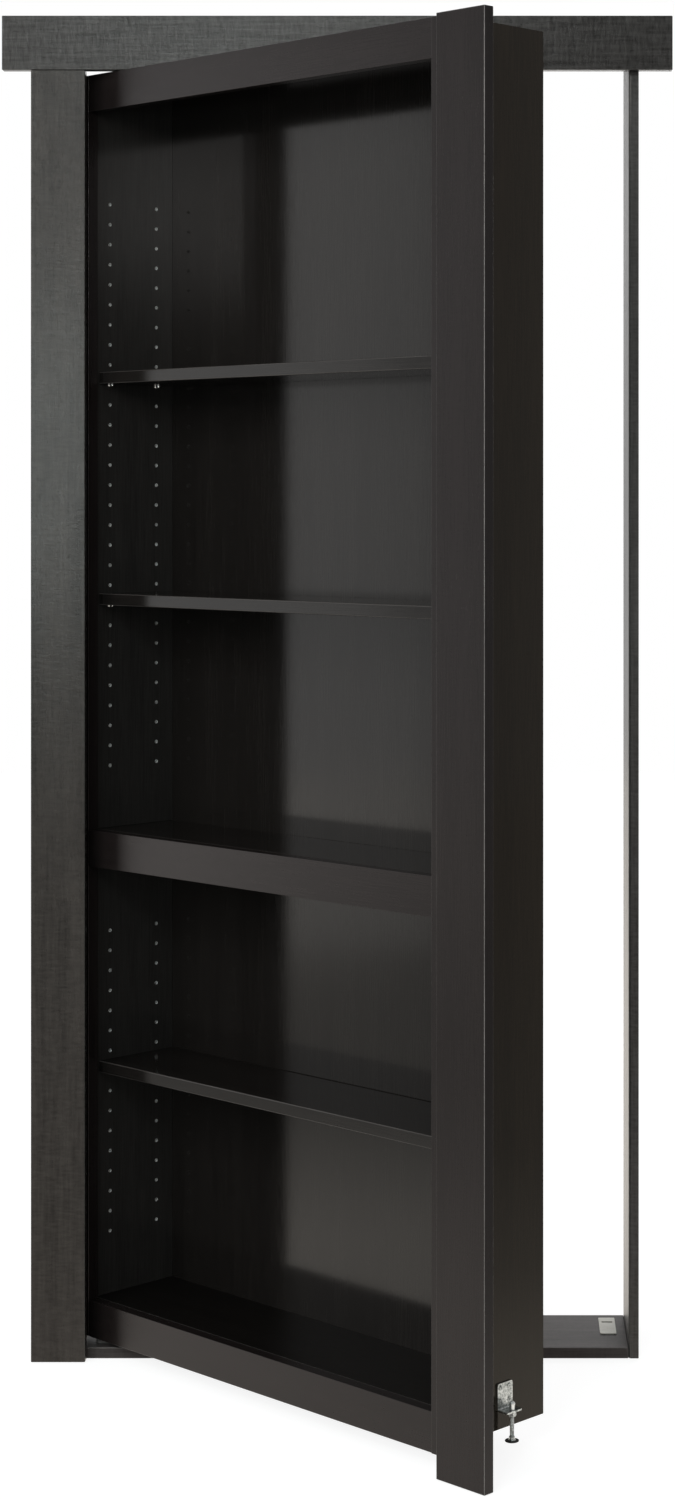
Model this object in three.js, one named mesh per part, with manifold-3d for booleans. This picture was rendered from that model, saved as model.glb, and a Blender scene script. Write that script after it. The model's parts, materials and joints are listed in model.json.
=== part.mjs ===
// Hidden door bookcase: a shelved case that swings on two pivots inside a trimmed door frame.
// Millimetres. +X runs along the wall, +Y into the hidden room, +Z up.
// The origin is the middle of the threshold's underside.
import * as THREE from 'three';
import { mergeVertices } from 'three/addons/utils/BufferGeometryUtils.js';
import Module from 'manifold-3d';

const wasm = await Module();
wasm.setup();

// Clearances
const GAP = 0.3;
const OVERRUN = 5;

// Fixed frame
const OPENING_W = 914;
const OPENING_H = 2054;
const FRAME_D = 171;
const JAMB_T = 16;
const SILL_T = 17;
const HEAD_HOUSING = 5;
const TRIM_T = 19;
const TRIM_W = 85;
const TRIM_OVERHANG = 6.7;
const HEADER_L = 1050;
const HEADER_DROP = 31;
const TRIM_EASE = 1.5;

// Swinging case
const OPEN_ANGLE = 43.43;
const CASE_W = 834;
const CASE_D = 163;
const CASE_SIDE_GAP = 47.2;
const PIVOT_INSET = 58;
const PIVOT_SETBACK = 30;
const BOARD_T = 19;
const BACK_T = 6;
const HOUSING = 6;
const BACK_REBATE = 9;
const DOOR_LIFT = 25;
const HEAD_CLEARANCE = 32;
const SIDE_LIFT = 21;
const SIDE_DROP = 3.5;
const RAIL_H = 57.5;
const RAIL_T = 19;
const MID_RAIL_TOP = 827;
const LEFT_STILE_W = 24;
const RIGHT_STILE_W = 44;
const RIGHT_STILE_PROUD = 2;
const BOARD_EASE = 1;

// Leg trim carried by the case
const LEG_W = 92;
const LEG_T = 18;
const LEG_LAP = 16;
const LEG_LIFT = 1;
const LEG_HEAD_GAP = 1.5;

// Shelves on pegs
const SHELF_T = 19;
const SHELF_END_GAP = 1.5;
const SHELF_SETBACK = 4.4;
const SHELF_BACK_GAP = 1.5;
const PEG_PITCH = 32;
const PEG_FRONT_SETBACK = 28;
const PEG_BACK_SETBACK = 123;
const UPPER_PEG_DROP = 178;
const LOWER_PEG_DROP = 146;
const PEG_FLOOR_GAP = 98;
const UPPER_SHELF_SHARE = 0.32;
const MIDDLE_SHELF_SHARE = 0.71;
const LOWER_SHELF_SHARE = 0.47;
const PEG_R = 2.5;
const PEG_HOLE_DEPTH = 11;
const PEG_L = 10;
const PEG_COLLAR_R = 3.6;
const PEG_COLLAR_T = 0.8;
const SPOON_L = 8;
const SPOON_W = 7;
const SPOON_T = 2;
const SPOON_RISE = 0.5;
const SPOON_CORNER = 0.8;

// Pivot sets
const PIVOT_PLATE_L = 96;
const PIVOT_PLATE_W = 48;
const PIVOT_PLATE_T = 4;
const PIVOT_PLATE_CORNER = 6;
const PIVOT_PLATE_LEAD = 10;
const PIVOT_PLATE_SHIFT = 16;
const PIVOT_SCREW_R = 2.6;
const PIVOT_SCREW_HEAD_R = 4.8;
const PIVOT_SCREW_EDGE = 10;
const PIN_R = 5;
const PIN_SHOULDER_R = 8;
const PIN_FLANGE_R = 13;
const PIN_FLANGE_T = 3;
const PIN_CHAMFER = 1;
const BUSH_WALL = 1.5;
const BUSH_FLANGE_R = 8.3;
const BUSH_FLANGE_T = 2.5;
const BUSH_ENTRY = 12;
const WASHER_R = 8;
const WASHER_T = 2.5;
const TOP_PIN_FREE = 4;

// Levelling foot
const BRACKET_W = 30.5;
const BRACKET_H = 36;
const BRACKET_T = 2.4;
const BRACKET_REACH = 21.4;
const BRACKET_BEND = 2;
const BRACKET_CORNER = 3;
const BRACKET_SETBACK = 64.5;
const BRACKET_SEAT = 74.8;
const BRACKET_SCREW_R = 2.2;
const BRACKET_SCREW_SPREAD = 17;
const BRACKET_SCREW_RISE = 19;
const BRACKET_SCREW_BASE = 10.5;
const STUD_R = 3.175;
const STUD_INSET = 15.2;
const FOOT_R = 10;
const FOOT_T = 1.5;
const FOOT_BOSS_R = 4.6;
const FOOT_BOSS_H = 5.5;
const FOOT_BASE = 31;
const STUD_SOCKET = 4;
const NUT_FLATS = 11.1;
const NUT_T = 5.6;
const NUT_CHAMFER = 0.7;
const DOME_R = 4.6;
const DOME_NECK_R = 4;
const DOME_NECK_H = 3.7;

// Landing pad on the threshold
const PAD_W = 26;
const PAD_L = 83;
const PAD_T = 1.6;
const PAD_CORNER = 2;
const PAD_SIDE_GAP = 16;
const PAD_SETBACK = 67;
const PAD_SLOT_W = 6;
const PAD_SLOT_L = 17;
const PAD_SLOT_BACK = 20;

// Facets of round shapes, and the distance under which corners are one
const ROUND_SIDES = 20;
const SMALL_SIDES = 14;
const PEG_SIDES = 8;
const HEX_SIDES = 6;
const DOME_STEPS = 6;
const CURVE_SEGMENTS = 4;
const WELD = 1e-4;

// Planes that several pieces share, from the driving sizes
const frameFront = -FRAME_D / 2;
const frameBack = FRAME_D / 2;
const trimFront = frameFront - GAP - TRIM_T;
const jambInner = OPENING_W / 2;
const jambOuter = jambInner + JAMB_T;
const trimOuter = jambOuter + TRIM_OVERHANG;
const headerBase = OPENING_H - HEADER_DROP;
const headerTop = headerBase + TRIM_W;

// Door coordinates: x and y from the pivot axis, the case's width along x
const faceFront = -PIVOT_SETBACK;
const faceBack = faceFront + RAIL_T;
const caseFront = faceBack + GAP;
const caseBack = caseFront + CASE_D;
const caseLeft = -PIVOT_INSET;
const caseRight = caseLeft + CASE_W;
const innerLeft = caseLeft + BOARD_T;
const innerRight = caseRight - BOARD_T;
const backFace = caseBack - BACK_T;
const doorTop = OPENING_H - HEAD_CLEARANCE;
const sideBase = DOOR_LIFT + SIDE_LIFT;
const sideTop = doorTop - SIDE_DROP;
const floorTop = DOOR_LIFT + RAIL_H;
const floorBase = floorTop - BOARD_T;
const midBase = MID_RAIL_TOP - BOARD_T;
const ceilingBase = sideTop - BOARD_T;
const stileFront = faceFront - RIGHT_STILE_PROUD;
const legBack = stileFront - GAP;
const legFront = legBack - LEG_T;
const legLeft = caseRight - LEG_LAP;
const legTop = headerBase - LEG_HEAD_GAP;
const bushR = PIN_R + GAP + BUSH_WALL;
const boreR = bushR + GAP;

// The pivot's place in the frame: the leg closes flush with the fixed trims
const pivotX = -jambInner + CASE_SIDE_GAP + PIVOT_INSET;
const pivotY = trimFront - legFront;

// Finishes
const finish = (color, roughness, metalness) => () =>
  new THREE.MeshStandardMaterial({ color, roughness, metalness });
const stainedTrim = finish(0x3d3e3d, 0.5, 0);
const stainedFace = finish(0x3b3634, 0.45, 0);
const stainedPanel = finish(0x2b2725, 0.4, 0);
const zincSteel = finish(0xb9bbbd, 0.35, 0.9);
const bronze = finish(0x8c6a3a, 0.4, 0.9);
const nickel = finish(0xc9c8c2, 0.25, 1);
const blackPlastic = finish(0x1c1c1c, 0.55, 0);
const ivoryPlastic = finish(0xcfc8b4, 0.6, 0);

// Manifold conversion
function toSolid(geometry) {
  const bare = geometry.index ? geometry.toNonIndexed() : geometry.clone();
  bare.deleteAttribute('normal');
  bare.deleteAttribute('uv');
  const merged = mergeVertices(bare, WELD);
  return new wasm.Manifold(new wasm.Mesh({
    numProp: merged.attributes.position.itemSize,
    vertProperties: new Float32Array(merged.attributes.position.array),
    triVerts: new Uint32Array(merged.index.array),
  }));
}

function toGeometry(solid) {
  const mesh = solid.getMesh();
  const geometry = new THREE.BufferGeometry();
  geometry.setAttribute('position', new THREE.BufferAttribute(mesh.vertProperties, 3));
  geometry.setIndex(new THREE.BufferAttribute(mesh.triVerts, 1));
  geometry.computeVertexNormals();
  return geometry;
}

function cut(geometry, tools) {
  return toGeometry(tools.reduce((body, tool) => body.subtract(toSolid(tool)), toSolid(geometry)));
}

function join(geometry, others) {
  return toGeometry(others.reduce((body, other) => body.add(toSolid(other)), toSolid(geometry)));
}

function common(geometry, others) {
  return toGeometry(others.reduce((body, other) => body.intersect(toSolid(other)), toSolid(geometry)));
}

// Axes that an outline's own two axes and its sweep take, by the direction of the sweep
const UNIT_X = new THREE.Vector3(1, 0, 0);
const UNIT_Y = new THREE.Vector3(0, 1, 0);
const UNIT_Z = new THREE.Vector3(0, 0, 1);
const SWEEP_AXES = {
  x: [UNIT_Y, UNIT_Z, UNIT_X],
  y: [UNIT_Z, UNIT_X, UNIT_Y],
  z: [UNIT_X, UNIT_Y, UNIT_Z],
};

function sweep(outline, length, along) {
  const options = { depth: length, bevelEnabled: false, curveSegments: CURVE_SEGMENTS };
  const geometry = new THREE.ExtrudeGeometry(outline, options);
  return geometry.applyMatrix4(new THREE.Matrix4().makeBasis(...SWEEP_AXES[along]));
}

function chamferedOutline(a0, a1, b0, b1, ease) {
  return new THREE.Shape([
    new THREE.Vector2(a0 + ease, b0), new THREE.Vector2(a1 - ease, b0),
    new THREE.Vector2(a1, b0 + ease), new THREE.Vector2(a1, b1 - ease),
    new THREE.Vector2(a1 - ease, b1), new THREE.Vector2(a0 + ease, b1),
    new THREE.Vector2(a0, b1 - ease), new THREE.Vector2(a0, b0 + ease),
  ]);
}

function roundedOutline(a0, a1, b0, b1, radius) {
  const shape = new THREE.Shape();
  shape.moveTo(a0 + radius, b0);
  shape.lineTo(a1 - radius, b0);
  shape.absarc(a1 - radius, b0 + radius, radius, -Math.PI / 2, 0, false);
  shape.lineTo(a1, b1 - radius);
  shape.absarc(a1 - radius, b1 - radius, radius, 0, Math.PI / 2, false);
  shape.lineTo(a0 + radius, b1);
  shape.absarc(a0 + radius, b1 - radius, radius, Math.PI / 2, Math.PI, false);
  shape.lineTo(a0, b0 + radius);
  shape.absarc(a0 + radius, b0 + radius, radius, Math.PI, 1.5 * Math.PI, false);
  return shape;
}

// A straight board with eased long edges: spans of x, y and z, and the axis of its length
function board(x, y, z, along, ease) {
  const [a, b, c] = { x: [y, z, x], y: [z, x, y], z: [x, y, z] }[along];
  const geometry = sweep(chamferedOutline(a[0], a[1], b[0], b[1], ease), c[1] - c[0], along);
  const start = SWEEP_AXES[along][2].clone().multiplyScalar(c[0]);
  return geometry.translate(start.x, start.y, start.z);
}

// A plain block used as a cutter
function block(x, y, z) {
  const geometry = new THREE.BoxGeometry(x[1] - x[0], y[1] - y[0], z[1] - z[0]);
  return geometry.translate((x[0] + x[1]) / 2, (y[0] + y[1]) / 2, (z[0] + z[1]) / 2);
}

// A straight round bar or drill along x or z, from one end to the other
function bar(radius, from, to, along, sides = ROUND_SIDES) {
  const geometry = new THREE.CylinderGeometry(radius, radius, to - from, sides);
  geometry.translate(0, (from + to) / 2, 0);
  return along === 'z' ? geometry.rotateX(Math.PI / 2) : geometry.rotateZ(-Math.PI / 2);
}

// A turned piece on the z axis from (radius, height) points
function turned(points, sides = ROUND_SIDES) {
  const profile = points.map(([radius, height]) => new THREE.Vector2(radius, height));
  return new THREE.LatheGeometry(profile, sides).rotateX(Math.PI / 2);
}

// Fixed frame pieces
function jamb(side) {
  const inner = side * jambInner;
  const outer = side * jambOuter;
  const x = [Math.min(inner, outer), Math.max(inner, outer)];
  const top = OPENING_H + JAMB_T;
  const post = board(x, [frameFront, frameBack], [0, top], 'z', BOARD_EASE);
  const housing = [inner - side * OVERRUN, inner + side * HEAD_HOUSING].sort((p, q) => p - q);
  const rebate = block(housing, [frameFront - OVERRUN, frameBack + OVERRUN], [OPENING_H, top + OVERRUN]);
  return cut(post, [rebate]);
}

function headJamb() {
  const reach = jambInner + HEAD_HOUSING - GAP;
  const z = [OPENING_H + GAP, OPENING_H + JAMB_T];
  return board([-reach, reach], [frameFront, frameBack], z, 'x', BOARD_EASE);
}

function threshold() {
  const reach = jambInner - GAP;
  return board([-reach, reach], [frameFront, frameBack], [0, SILL_T], 'x', BOARD_EASE);
}

function headerTrim() {
  const y = [trimFront, trimFront + TRIM_T];
  return board([-HEADER_L / 2, HEADER_L / 2], y, [headerBase, headerTop], 'x', TRIM_EASE);
}

function leftLegTrim() {
  const y = [trimFront, trimFront + TRIM_T];
  return board([-trimOuter, TRIM_W - trimOuter], y, [0, headerBase - GAP], 'z', TRIM_EASE);
}

function landingPad() {
  const x1 = jambInner - PAD_SIDE_GAP;
  const x0 = x1 - PAD_W;
  const y0 = frameFront + PAD_SETBACK;
  const y1 = y0 + PAD_L;
  const base = SILL_T + GAP;
  const plate = sweep(roundedOutline(x0, x1, y0, y1, PAD_CORNER), PAD_T, 'z').translate(0, 0, base);
  const slotX = [(x0 + x1 - PAD_SLOT_L) / 2, (x0 + x1 + PAD_SLOT_L) / 2];
  const slotY = [y1 - PAD_SLOT_BACK - PAD_SLOT_W, y1 - PAD_SLOT_BACK];
  const slot = block(slotX, slotY, [base - OVERRUN, base + PAD_T + OVERRUN]);
  return cut(plate, [slot]);
}

// Side panels: housings for the fixed boards, a rebate for the back and two drilled columns of peg holes
const pegSetbacks = { front: PEG_FRONT_SETBACK, back: PEG_BACK_SETBACK };

function pegColumn(top, floor) {
  const count = 1 + Math.floor((top - floor - PEG_FLOOR_GAP) / PEG_PITCH);
  return Array.from({ length: count }, (unused, row) => top - row * PEG_PITCH);
}

const upperPegs = pegColumn(ceilingBase - UPPER_PEG_DROP, MID_RAIL_TOP);
const lowerPegs = pegColumn(midBase - LOWER_PEG_DROP, floorTop);
const pegAtShare = (pegs, share) => pegs[Math.round(share * (pegs.length - 1))];
const shelfPegHeights = {
  upper: pegAtShare(upperPegs, UPPER_SHELF_SHARE),
  middle: pegAtShare(upperPegs, MIDDLE_SHELF_SHARE),
  lower: pegAtShare(lowerPegs, LOWER_SHELF_SHARE),
};

function sidePanel(side) {
  const inner = side < 0 ? innerLeft : innerRight;
  const outer = side < 0 ? caseLeft : caseRight;
  const x = [Math.min(inner, outer), Math.max(inner, outer)];
  const panel = board(x, [caseFront, caseBack], [sideBase, sideTop], 'z', BOARD_EASE);
  const into = (depth) => [inner - side * OVERRUN, inner + side * depth].sort((p, q) => p - q);
  const through = [caseFront - OVERRUN, caseBack + OVERRUN];
  const housings = [floorBase, midBase].map((base) =>
    block(into(HOUSING), through, [base - GAP, base + BOARD_T + GAP]));
  const topRebate = block(into(HOUSING), through, [ceilingBase - GAP, sideTop + OVERRUN]);
  const behind = [backFace - GAP, caseBack + OVERRUN];
  const backRebate = block(into(BACK_REBATE), behind, [sideBase - OVERRUN, sideTop + OVERRUN]);
  const drill = into(PEG_HOLE_DEPTH);
  const heights = [...upperPegs, ...lowerPegs];
  const holes = Object.values(pegSetbacks).flatMap((setback) => heights.map((height) =>
    bar(PEG_R + GAP, drill[0], drill[1], 'x', PEG_SIDES).translate(0, caseFront + setback, height)));
  return cut(panel, [...housings, topRebate, backRebate, ...holes]);
}

// Fixed boards housed in the sides
function fixedBoard(base) {
  const x = [innerLeft - HOUSING + GAP, innerRight + HOUSING - GAP];
  return board(x, [caseFront, backFace - GAP], [base, base + BOARD_T], 'x', BOARD_EASE);
}

function boredBoard(base, face, inward) {
  const ends = [face - inward * OVERRUN, face + inward * (BUSH_ENTRY + GAP)].sort((p, q) => p - q);
  return cut(fixedBoard(base), [bar(boreR, ends[0], ends[1], 'z')]);
}

function backPanel() {
  const x = [innerLeft - BACK_REBATE + GAP, innerRight + BACK_REBATE - GAP];
  return board(x, [backFace, caseBack], [sideBase, sideTop], 'x', BOARD_EASE);
}

// Face frame
function rail(base) {
  const x = [caseLeft + LEFT_STILE_W + GAP, caseRight - RIGHT_STILE_W - GAP];
  return board(x, [faceFront, faceBack], [base, base + RAIL_H], 'x', BOARD_EASE);
}

function leftStile() {
  const x = [caseLeft, caseLeft + LEFT_STILE_W];
  return board(x, [faceFront, faceBack], [DOOR_LIFT, doorTop], 'z', BOARD_EASE);
}

function rightStile() {
  const x = [caseRight - RIGHT_STILE_W, caseRight];
  return board(x, [stileFront, faceBack], [DOOR_LIFT, doorTop], 'z', BOARD_EASE);
}

function legTrim() {
  return board([legLeft, legLeft + LEG_W], [legFront, legBack], [LEG_LIFT, legTop], 'z', TRIM_EASE);
}

// Adjustable shelf and the four supports under it
function shelf(pegHeight) {
  const base = pegHeight + SPOON_RISE + GAP;
  const x = [innerLeft + SHELF_END_GAP, innerRight - SHELF_END_GAP];
  const y = [caseFront + SHELF_SETBACK, backFace - SHELF_BACK_GAP];
  return board(x, y, [base, base + SHELF_T], 'x', TRIM_EASE);
}

// A peg with a collar on the panel and a flat spoon under the shelf, pointing away from the wall
function shelfSupport(side) {
  const collar = PEG_COLLAR_T + GAP;
  const shank = bar(PEG_R, -PEG_L, collar, 'x', PEG_SIDES);
  const ring = bar(PEG_COLLAR_R, GAP, collar, 'x', PEG_SIDES);
  const tip = collar + SPOON_L;
  const spoon = sweep(roundedOutline(GAP, tip, -SPOON_W / 2, SPOON_W / 2, SPOON_CORNER), SPOON_T, 'z');
  const body = join(shank, [ring, spoon.translate(0, 0, SPOON_RISE - SPOON_T)]);
  return side < 0 ? body.translate(innerLeft, 0, 0) : body.rotateZ(Math.PI).translate(innerRight, 0, 0);
}

// Pivot sets
function plateOutline() {
  const left = PIVOT_PLATE_SHIFT - PIVOT_PLATE_L / 2;
  const front = -PIVOT_PLATE_LEAD;
  return roundedOutline(left, left + PIVOT_PLATE_L, front, front + PIVOT_PLATE_W, PIVOT_PLATE_CORNER);
}

function pivotPlate(base, headsUp, holeR) {
  const plate = sweep(plateOutline(), PIVOT_PLATE_T, 'z').translate(0, 0, base);
  const reach = PIVOT_PLATE_L / 2 - PIVOT_SCREW_EDGE;
  const [leftX, rightX] = [PIVOT_PLATE_SHIFT - reach, PIVOT_PLATE_SHIFT + reach];
  const nearY = PIVOT_SCREW_EDGE - PIVOT_PLATE_LEAD;
  const farY = PIVOT_PLATE_W - PIVOT_SCREW_EDGE - PIVOT_PLATE_LEAD;
  const low = headsUp ? PIVOT_SCREW_R : PIVOT_SCREW_HEAD_R;
  const high = headsUp ? PIVOT_SCREW_HEAD_R : PIVOT_SCREW_R;
  const tools = [[leftX, nearY], [rightX, nearY], [leftX, farY], [rightX, farY]].map(([x, y]) => {
    const sink = new THREE.CylinderGeometry(high, low, PIVOT_PLATE_T + GAP, SMALL_SIDES);
    return sink.rotateX(Math.PI / 2).translate(x, y, base + PIVOT_PLATE_T / 2);
  });
  const centre = bar(holeR, base - OVERRUN, base + PIVOT_PLATE_T + OVERRUN, 'z');
  return cut(plate, [...tools, centre]);
}

// A turned pivot pin: spigot in its plate, flange, shoulder and shaft. Heights run from the plate's far face.
function pivotPin(flangeBase, shoulderTop, shaftTop) {
  return turned([
    [0, flangeBase - PIVOT_PLATE_T], [PIN_R, flangeBase - PIVOT_PLATE_T], [PIN_R, flangeBase],
    [PIN_FLANGE_R, flangeBase], [PIN_FLANGE_R, flangeBase + PIN_FLANGE_T],
    [PIN_SHOULDER_R, flangeBase + PIN_FLANGE_T], [PIN_SHOULDER_R, shoulderTop], [PIN_R, shoulderTop],
    [PIN_R, shaftTop - PIN_CHAMFER], [PIN_R - PIN_CHAMFER, shaftTop], [0, shaftTop],
  ]);
}

// A flanged bush: the flange's outer face at zero, its sleeve rising
function flangedBush(length) {
  const bore = PIN_R + GAP;
  return turned([
    [bore, 0], [BUSH_FLANGE_R, 0], [BUSH_FLANGE_R, BUSH_FLANGE_T], [bushR, BUSH_FLANGE_T],
    [bushR, length], [bore, length], [bore, 0],
  ]);
}

function thrustWasher() {
  const bore = PIN_R + GAP;
  return turned([[bore, 0], [WASHER_R, 0], [WASHER_R, WASHER_T], [bore, WASHER_T], [bore, 0]]);
}

// Heights of the bottom pivot set, stacked from the threshold up and from the case floor down
const bottomPlateBase = SILL_T + GAP;
const bottomFlangeBase = bottomPlateBase + PIVOT_PLATE_T + GAP;
const bottomDoorPlateBase = floorBase - GAP - PIVOT_PLATE_T;
const bottomBushBase = bottomDoorPlateBase - GAP - BUSH_FLANGE_T;
const bottomWasherBase = bottomBushBase - GAP - WASHER_T;
const bottomShoulderTop = bottomWasherBase - GAP;
const bottomPinTop = floorBase + BUSH_ENTRY - GAP;

// Heights of the top pivot set, stacked from the case top up and from the head down
const topDoorPlateBase = sideTop + GAP;
const topBushFace = topDoorPlateBase + PIVOT_PLATE_T + GAP + BUSH_FLANGE_T;
const topPlateBase = OPENING_H - PIVOT_PLATE_T;
const topFlangeFace = topPlateBase - GAP;
const topShoulderFace = topBushFace + TOP_PIN_FREE;
const topPinEnd = sideTop - BUSH_ENTRY + GAP;
const bushLength = BUSH_FLANGE_T + GAP + PIVOT_PLATE_T + GAP + BUSH_ENTRY;

function topPivotPin() {
  const pin = pivotPin(0, topFlangeFace - topShoulderFace, topFlangeFace - topPinEnd);
  return pin.rotateX(Math.PI).translate(0, 0, topFlangeFace);
}

function topBush() {
  return flangedBush(bushLength).rotateX(Math.PI).translate(0, 0, topBushFace);
}

// Levelling foot on the right side panel
const bracketFace = caseRight + GAP;
const bracketFront = caseFront + BRACKET_SETBACK;
const bracketMid = bracketFront + BRACKET_W / 2;
const studX = bracketFace + STUD_INSET;
const tabBase = BRACKET_SEAT - BRACKET_T;

function levellingBracket() {
  const heel = BRACKET_BEND + BRACKET_T;
  const profile = new THREE.Shape();
  profile.moveTo(bracketFace + heel, tabBase);
  profile.lineTo(bracketFace + BRACKET_REACH, tabBase);
  profile.lineTo(bracketFace + BRACKET_REACH, BRACKET_SEAT);
  profile.lineTo(bracketFace + heel, BRACKET_SEAT);
  profile.absarc(bracketFace + heel, BRACKET_SEAT + BRACKET_BEND, BRACKET_BEND, 1.5 * Math.PI, Math.PI, true);
  profile.lineTo(bracketFace + BRACKET_T, BRACKET_SEAT + BRACKET_H);
  profile.lineTo(bracketFace, BRACKET_SEAT + BRACKET_H);
  profile.lineTo(bracketFace, BRACKET_SEAT + BRACKET_BEND);
  profile.absarc(bracketFace + heel, BRACKET_SEAT + BRACKET_BEND, heel, Math.PI, 1.5 * Math.PI, false);
  const options = { depth: BRACKET_W, bevelEnabled: false, curveSegments: CURVE_SEGMENTS };
  const angle = new THREE.ExtrudeGeometry(profile, options);
  angle.rotateX(Math.PI / 2).translate(0, bracketFront + BRACKET_W, 0);
  const y = [bracketFront, bracketFront + BRACKET_W];
  const behind = bracketFace - OVERRUN;
  const below = tabBase - OVERRUN;
  const tabOutline = roundedOutline(behind, bracketFace + BRACKET_REACH, y[0], y[1], BRACKET_CORNER);
  const tabShape = sweep(tabOutline, BRACKET_H + OVERRUN + OVERRUN, 'z').translate(0, 0, below);
  const plateShape = sweep(
    roundedOutline(y[0], y[1], below, BRACKET_SEAT + BRACKET_H, BRACKET_CORNER),
    BRACKET_REACH + OVERRUN + OVERRUN, 'x').translate(behind, 0, 0);
  const rows = [BRACKET_SCREW_BASE, BRACKET_SCREW_BASE + BRACKET_SCREW_RISE];
  const screws = rows.flatMap((rise) => [-1, 1].map((side) =>
    bar(BRACKET_SCREW_R, behind, bracketFace + heel + OVERRUN, 'x', PEG_SIDES)
      .translate(0, bracketMid + side * BRACKET_SCREW_SPREAD / 2, BRACKET_SEAT + rise)));
  const studHole = bar(STUD_R + GAP, below, BRACKET_SEAT + OVERRUN, 'z', SMALL_SIDES);
  return cut(common(angle, [tabShape, plateShape]), [...screws, studHole.translate(studX, bracketMid, 0)]);
}

function levellingFoot() {
  const socket = FOOT_T + FOOT_BOSS_H - STUD_SOCKET;
  return turned([
    [0, 0], [FOOT_R - PIN_CHAMFER, 0], [FOOT_R, PIN_CHAMFER], [FOOT_R, FOOT_T],
    [FOOT_BOSS_R, FOOT_T + PIN_CHAMFER], [STUD_R + GAP + PIN_CHAMFER, FOOT_T + FOOT_BOSS_H],
    [STUD_R + GAP, FOOT_T + FOOT_BOSS_H], [STUD_R + GAP, socket], [0, socket],
  ], SMALL_SIDES).translate(studX, bracketMid, FOOT_BASE);
}

function levellingStud() {
  const base = FOOT_BASE + FOOT_T + FOOT_BOSS_H - STUD_SOCKET + GAP;
  const top = BRACKET_SEAT + GAP + DOME_NECK_H;
  return turned([
    [0, base], [STUD_R - PIN_CHAMFER, base], [STUD_R, base + PIN_CHAMFER], [STUD_R, top], [0, top],
  ], SMALL_SIDES).translate(studX, bracketMid, 0);
}

// The domed nut closes over the stud's top end
function domedNut() {
  const base = BRACKET_SEAT + GAP;
  const bore = STUD_R + GAP;
  const neckTop = base + DOME_NECK_H;
  const centre = neckTop + DOME_R - GAP;
  const start = Math.acos(DOME_NECK_R / DOME_R);
  const dome = Array.from({ length: DOME_STEPS }, (unused, step) => {
    const angle = -start + (Math.PI / 2 + start) * (step / DOME_STEPS);
    return [DOME_R * Math.cos(angle), centre + DOME_R * Math.sin(angle)];
  });
  const ceiling = neckTop + GAP;
  return turned([
    [0, ceiling], [bore, ceiling], [bore, base], [DOME_NECK_R, base], ...dome, [0, centre + DOME_R],
  ], SMALL_SIDES).translate(studX, bracketMid, 0);
}

// The nut under the bracket's tab that the stud threads through
function bracketNut() {
  const top = tabBase - GAP;
  const base = top - NUT_T;
  const cornerR = NUT_FLATS / 2 / Math.cos(Math.PI / HEX_SIDES);
  const hex = bar(cornerR, base, top, 'z', HEX_SIDES);
  const turnedOff = turned([
    [0, base], [NUT_FLATS / 2, base], [cornerR, base + NUT_CHAMFER], [cornerR, top - NUT_CHAMFER],
    [NUT_FLATS / 2, top], [0, top],
  ]);
  const bore = bar(STUD_R + GAP, base - OVERRUN, top + OVERRUN, 'z');
  return cut(common(hex, [turnedOff]), [bore]).translate(studX, bracketMid, 0);
}

// Assembly
const group = new THREE.Group();
const frame = new THREE.Group();
const door = new THREE.Group();
door.position.set(pivotX, pivotY, 0);
door.rotation.z = THREE.MathUtils.degToRad(-OPEN_ANGLE);
group.add(frame, door);

function place(parent, name, geometry, material, x = 0, y = 0, z = 0) {
  const mesh = new THREE.Mesh(geometry, material());
  mesh.name = name;
  mesh.position.set(x, y, z);
  parent.add(mesh);
}

place(frame, 'left_jamb', jamb(-1), stainedTrim);
place(frame, 'right_jamb', jamb(1), stainedTrim);
place(frame, 'head_jamb', headJamb(), stainedTrim);
place(frame, 'threshold', threshold(), stainedTrim);
place(frame, 'header_trim', headerTrim(), stainedTrim);
place(frame, 'left_leg_trim', leftLegTrim(), stainedTrim);
place(frame, 'landing_pad', landingPad(), ivoryPlastic);

const pinHoleR = PIN_R + GAP;
place(frame, 'bottom_frame_plate', pivotPlate(bottomPlateBase, true, pinHoleR), zincSteel, pivotX, pivotY);
const bottomPin = pivotPin(bottomFlangeBase, bottomShoulderTop, bottomPinTop);
place(frame, 'bottom_pivot_pin', bottomPin, zincSteel, pivotX, pivotY);
place(frame, 'top_frame_plate', pivotPlate(topPlateBase, false, pinHoleR), zincSteel, pivotX, pivotY);
place(frame, 'top_pivot_pin', topPivotPin(), zincSteel, pivotX, pivotY);

place(door, 'left_side_panel', sidePanel(-1), stainedPanel);
place(door, 'right_side_panel', sidePanel(1), stainedPanel);
place(door, 'case_top', boredBoard(ceilingBase, sideTop, -1), stainedPanel);
place(door, 'case_floor', boredBoard(floorBase, floorBase, 1), stainedPanel);
place(door, 'fixed_middle_shelf', fixedBoard(midBase), stainedPanel);
place(door, 'back_panel', backPanel(), stainedPanel);
place(door, 'top_rail', rail(doorTop - RAIL_H), stainedFace);
place(door, 'middle_rail', rail(MID_RAIL_TOP - RAIL_H), stainedFace);
place(door, 'bottom_rail', rail(DOOR_LIFT), stainedFace);
place(door, 'left_stile', leftStile(), stainedFace);
place(door, 'right_stile', rightStile(), stainedFace);
place(door, 'right_leg_trim', legTrim(), stainedFace);

place(door, 'bottom_door_plate', pivotPlate(bottomDoorPlateBase, false, boreR), zincSteel);
place(door, 'bottom_bush', flangedBush(bushLength), bronze, 0, 0, bottomBushBase);
place(door, 'thrust_washer', thrustWasher(), bronze, 0, 0, bottomWasherBase);
place(door, 'top_door_plate', pivotPlate(topDoorPlateBase, true, boreR), zincSteel);
place(door, 'top_bush', topBush(), bronze);

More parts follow.
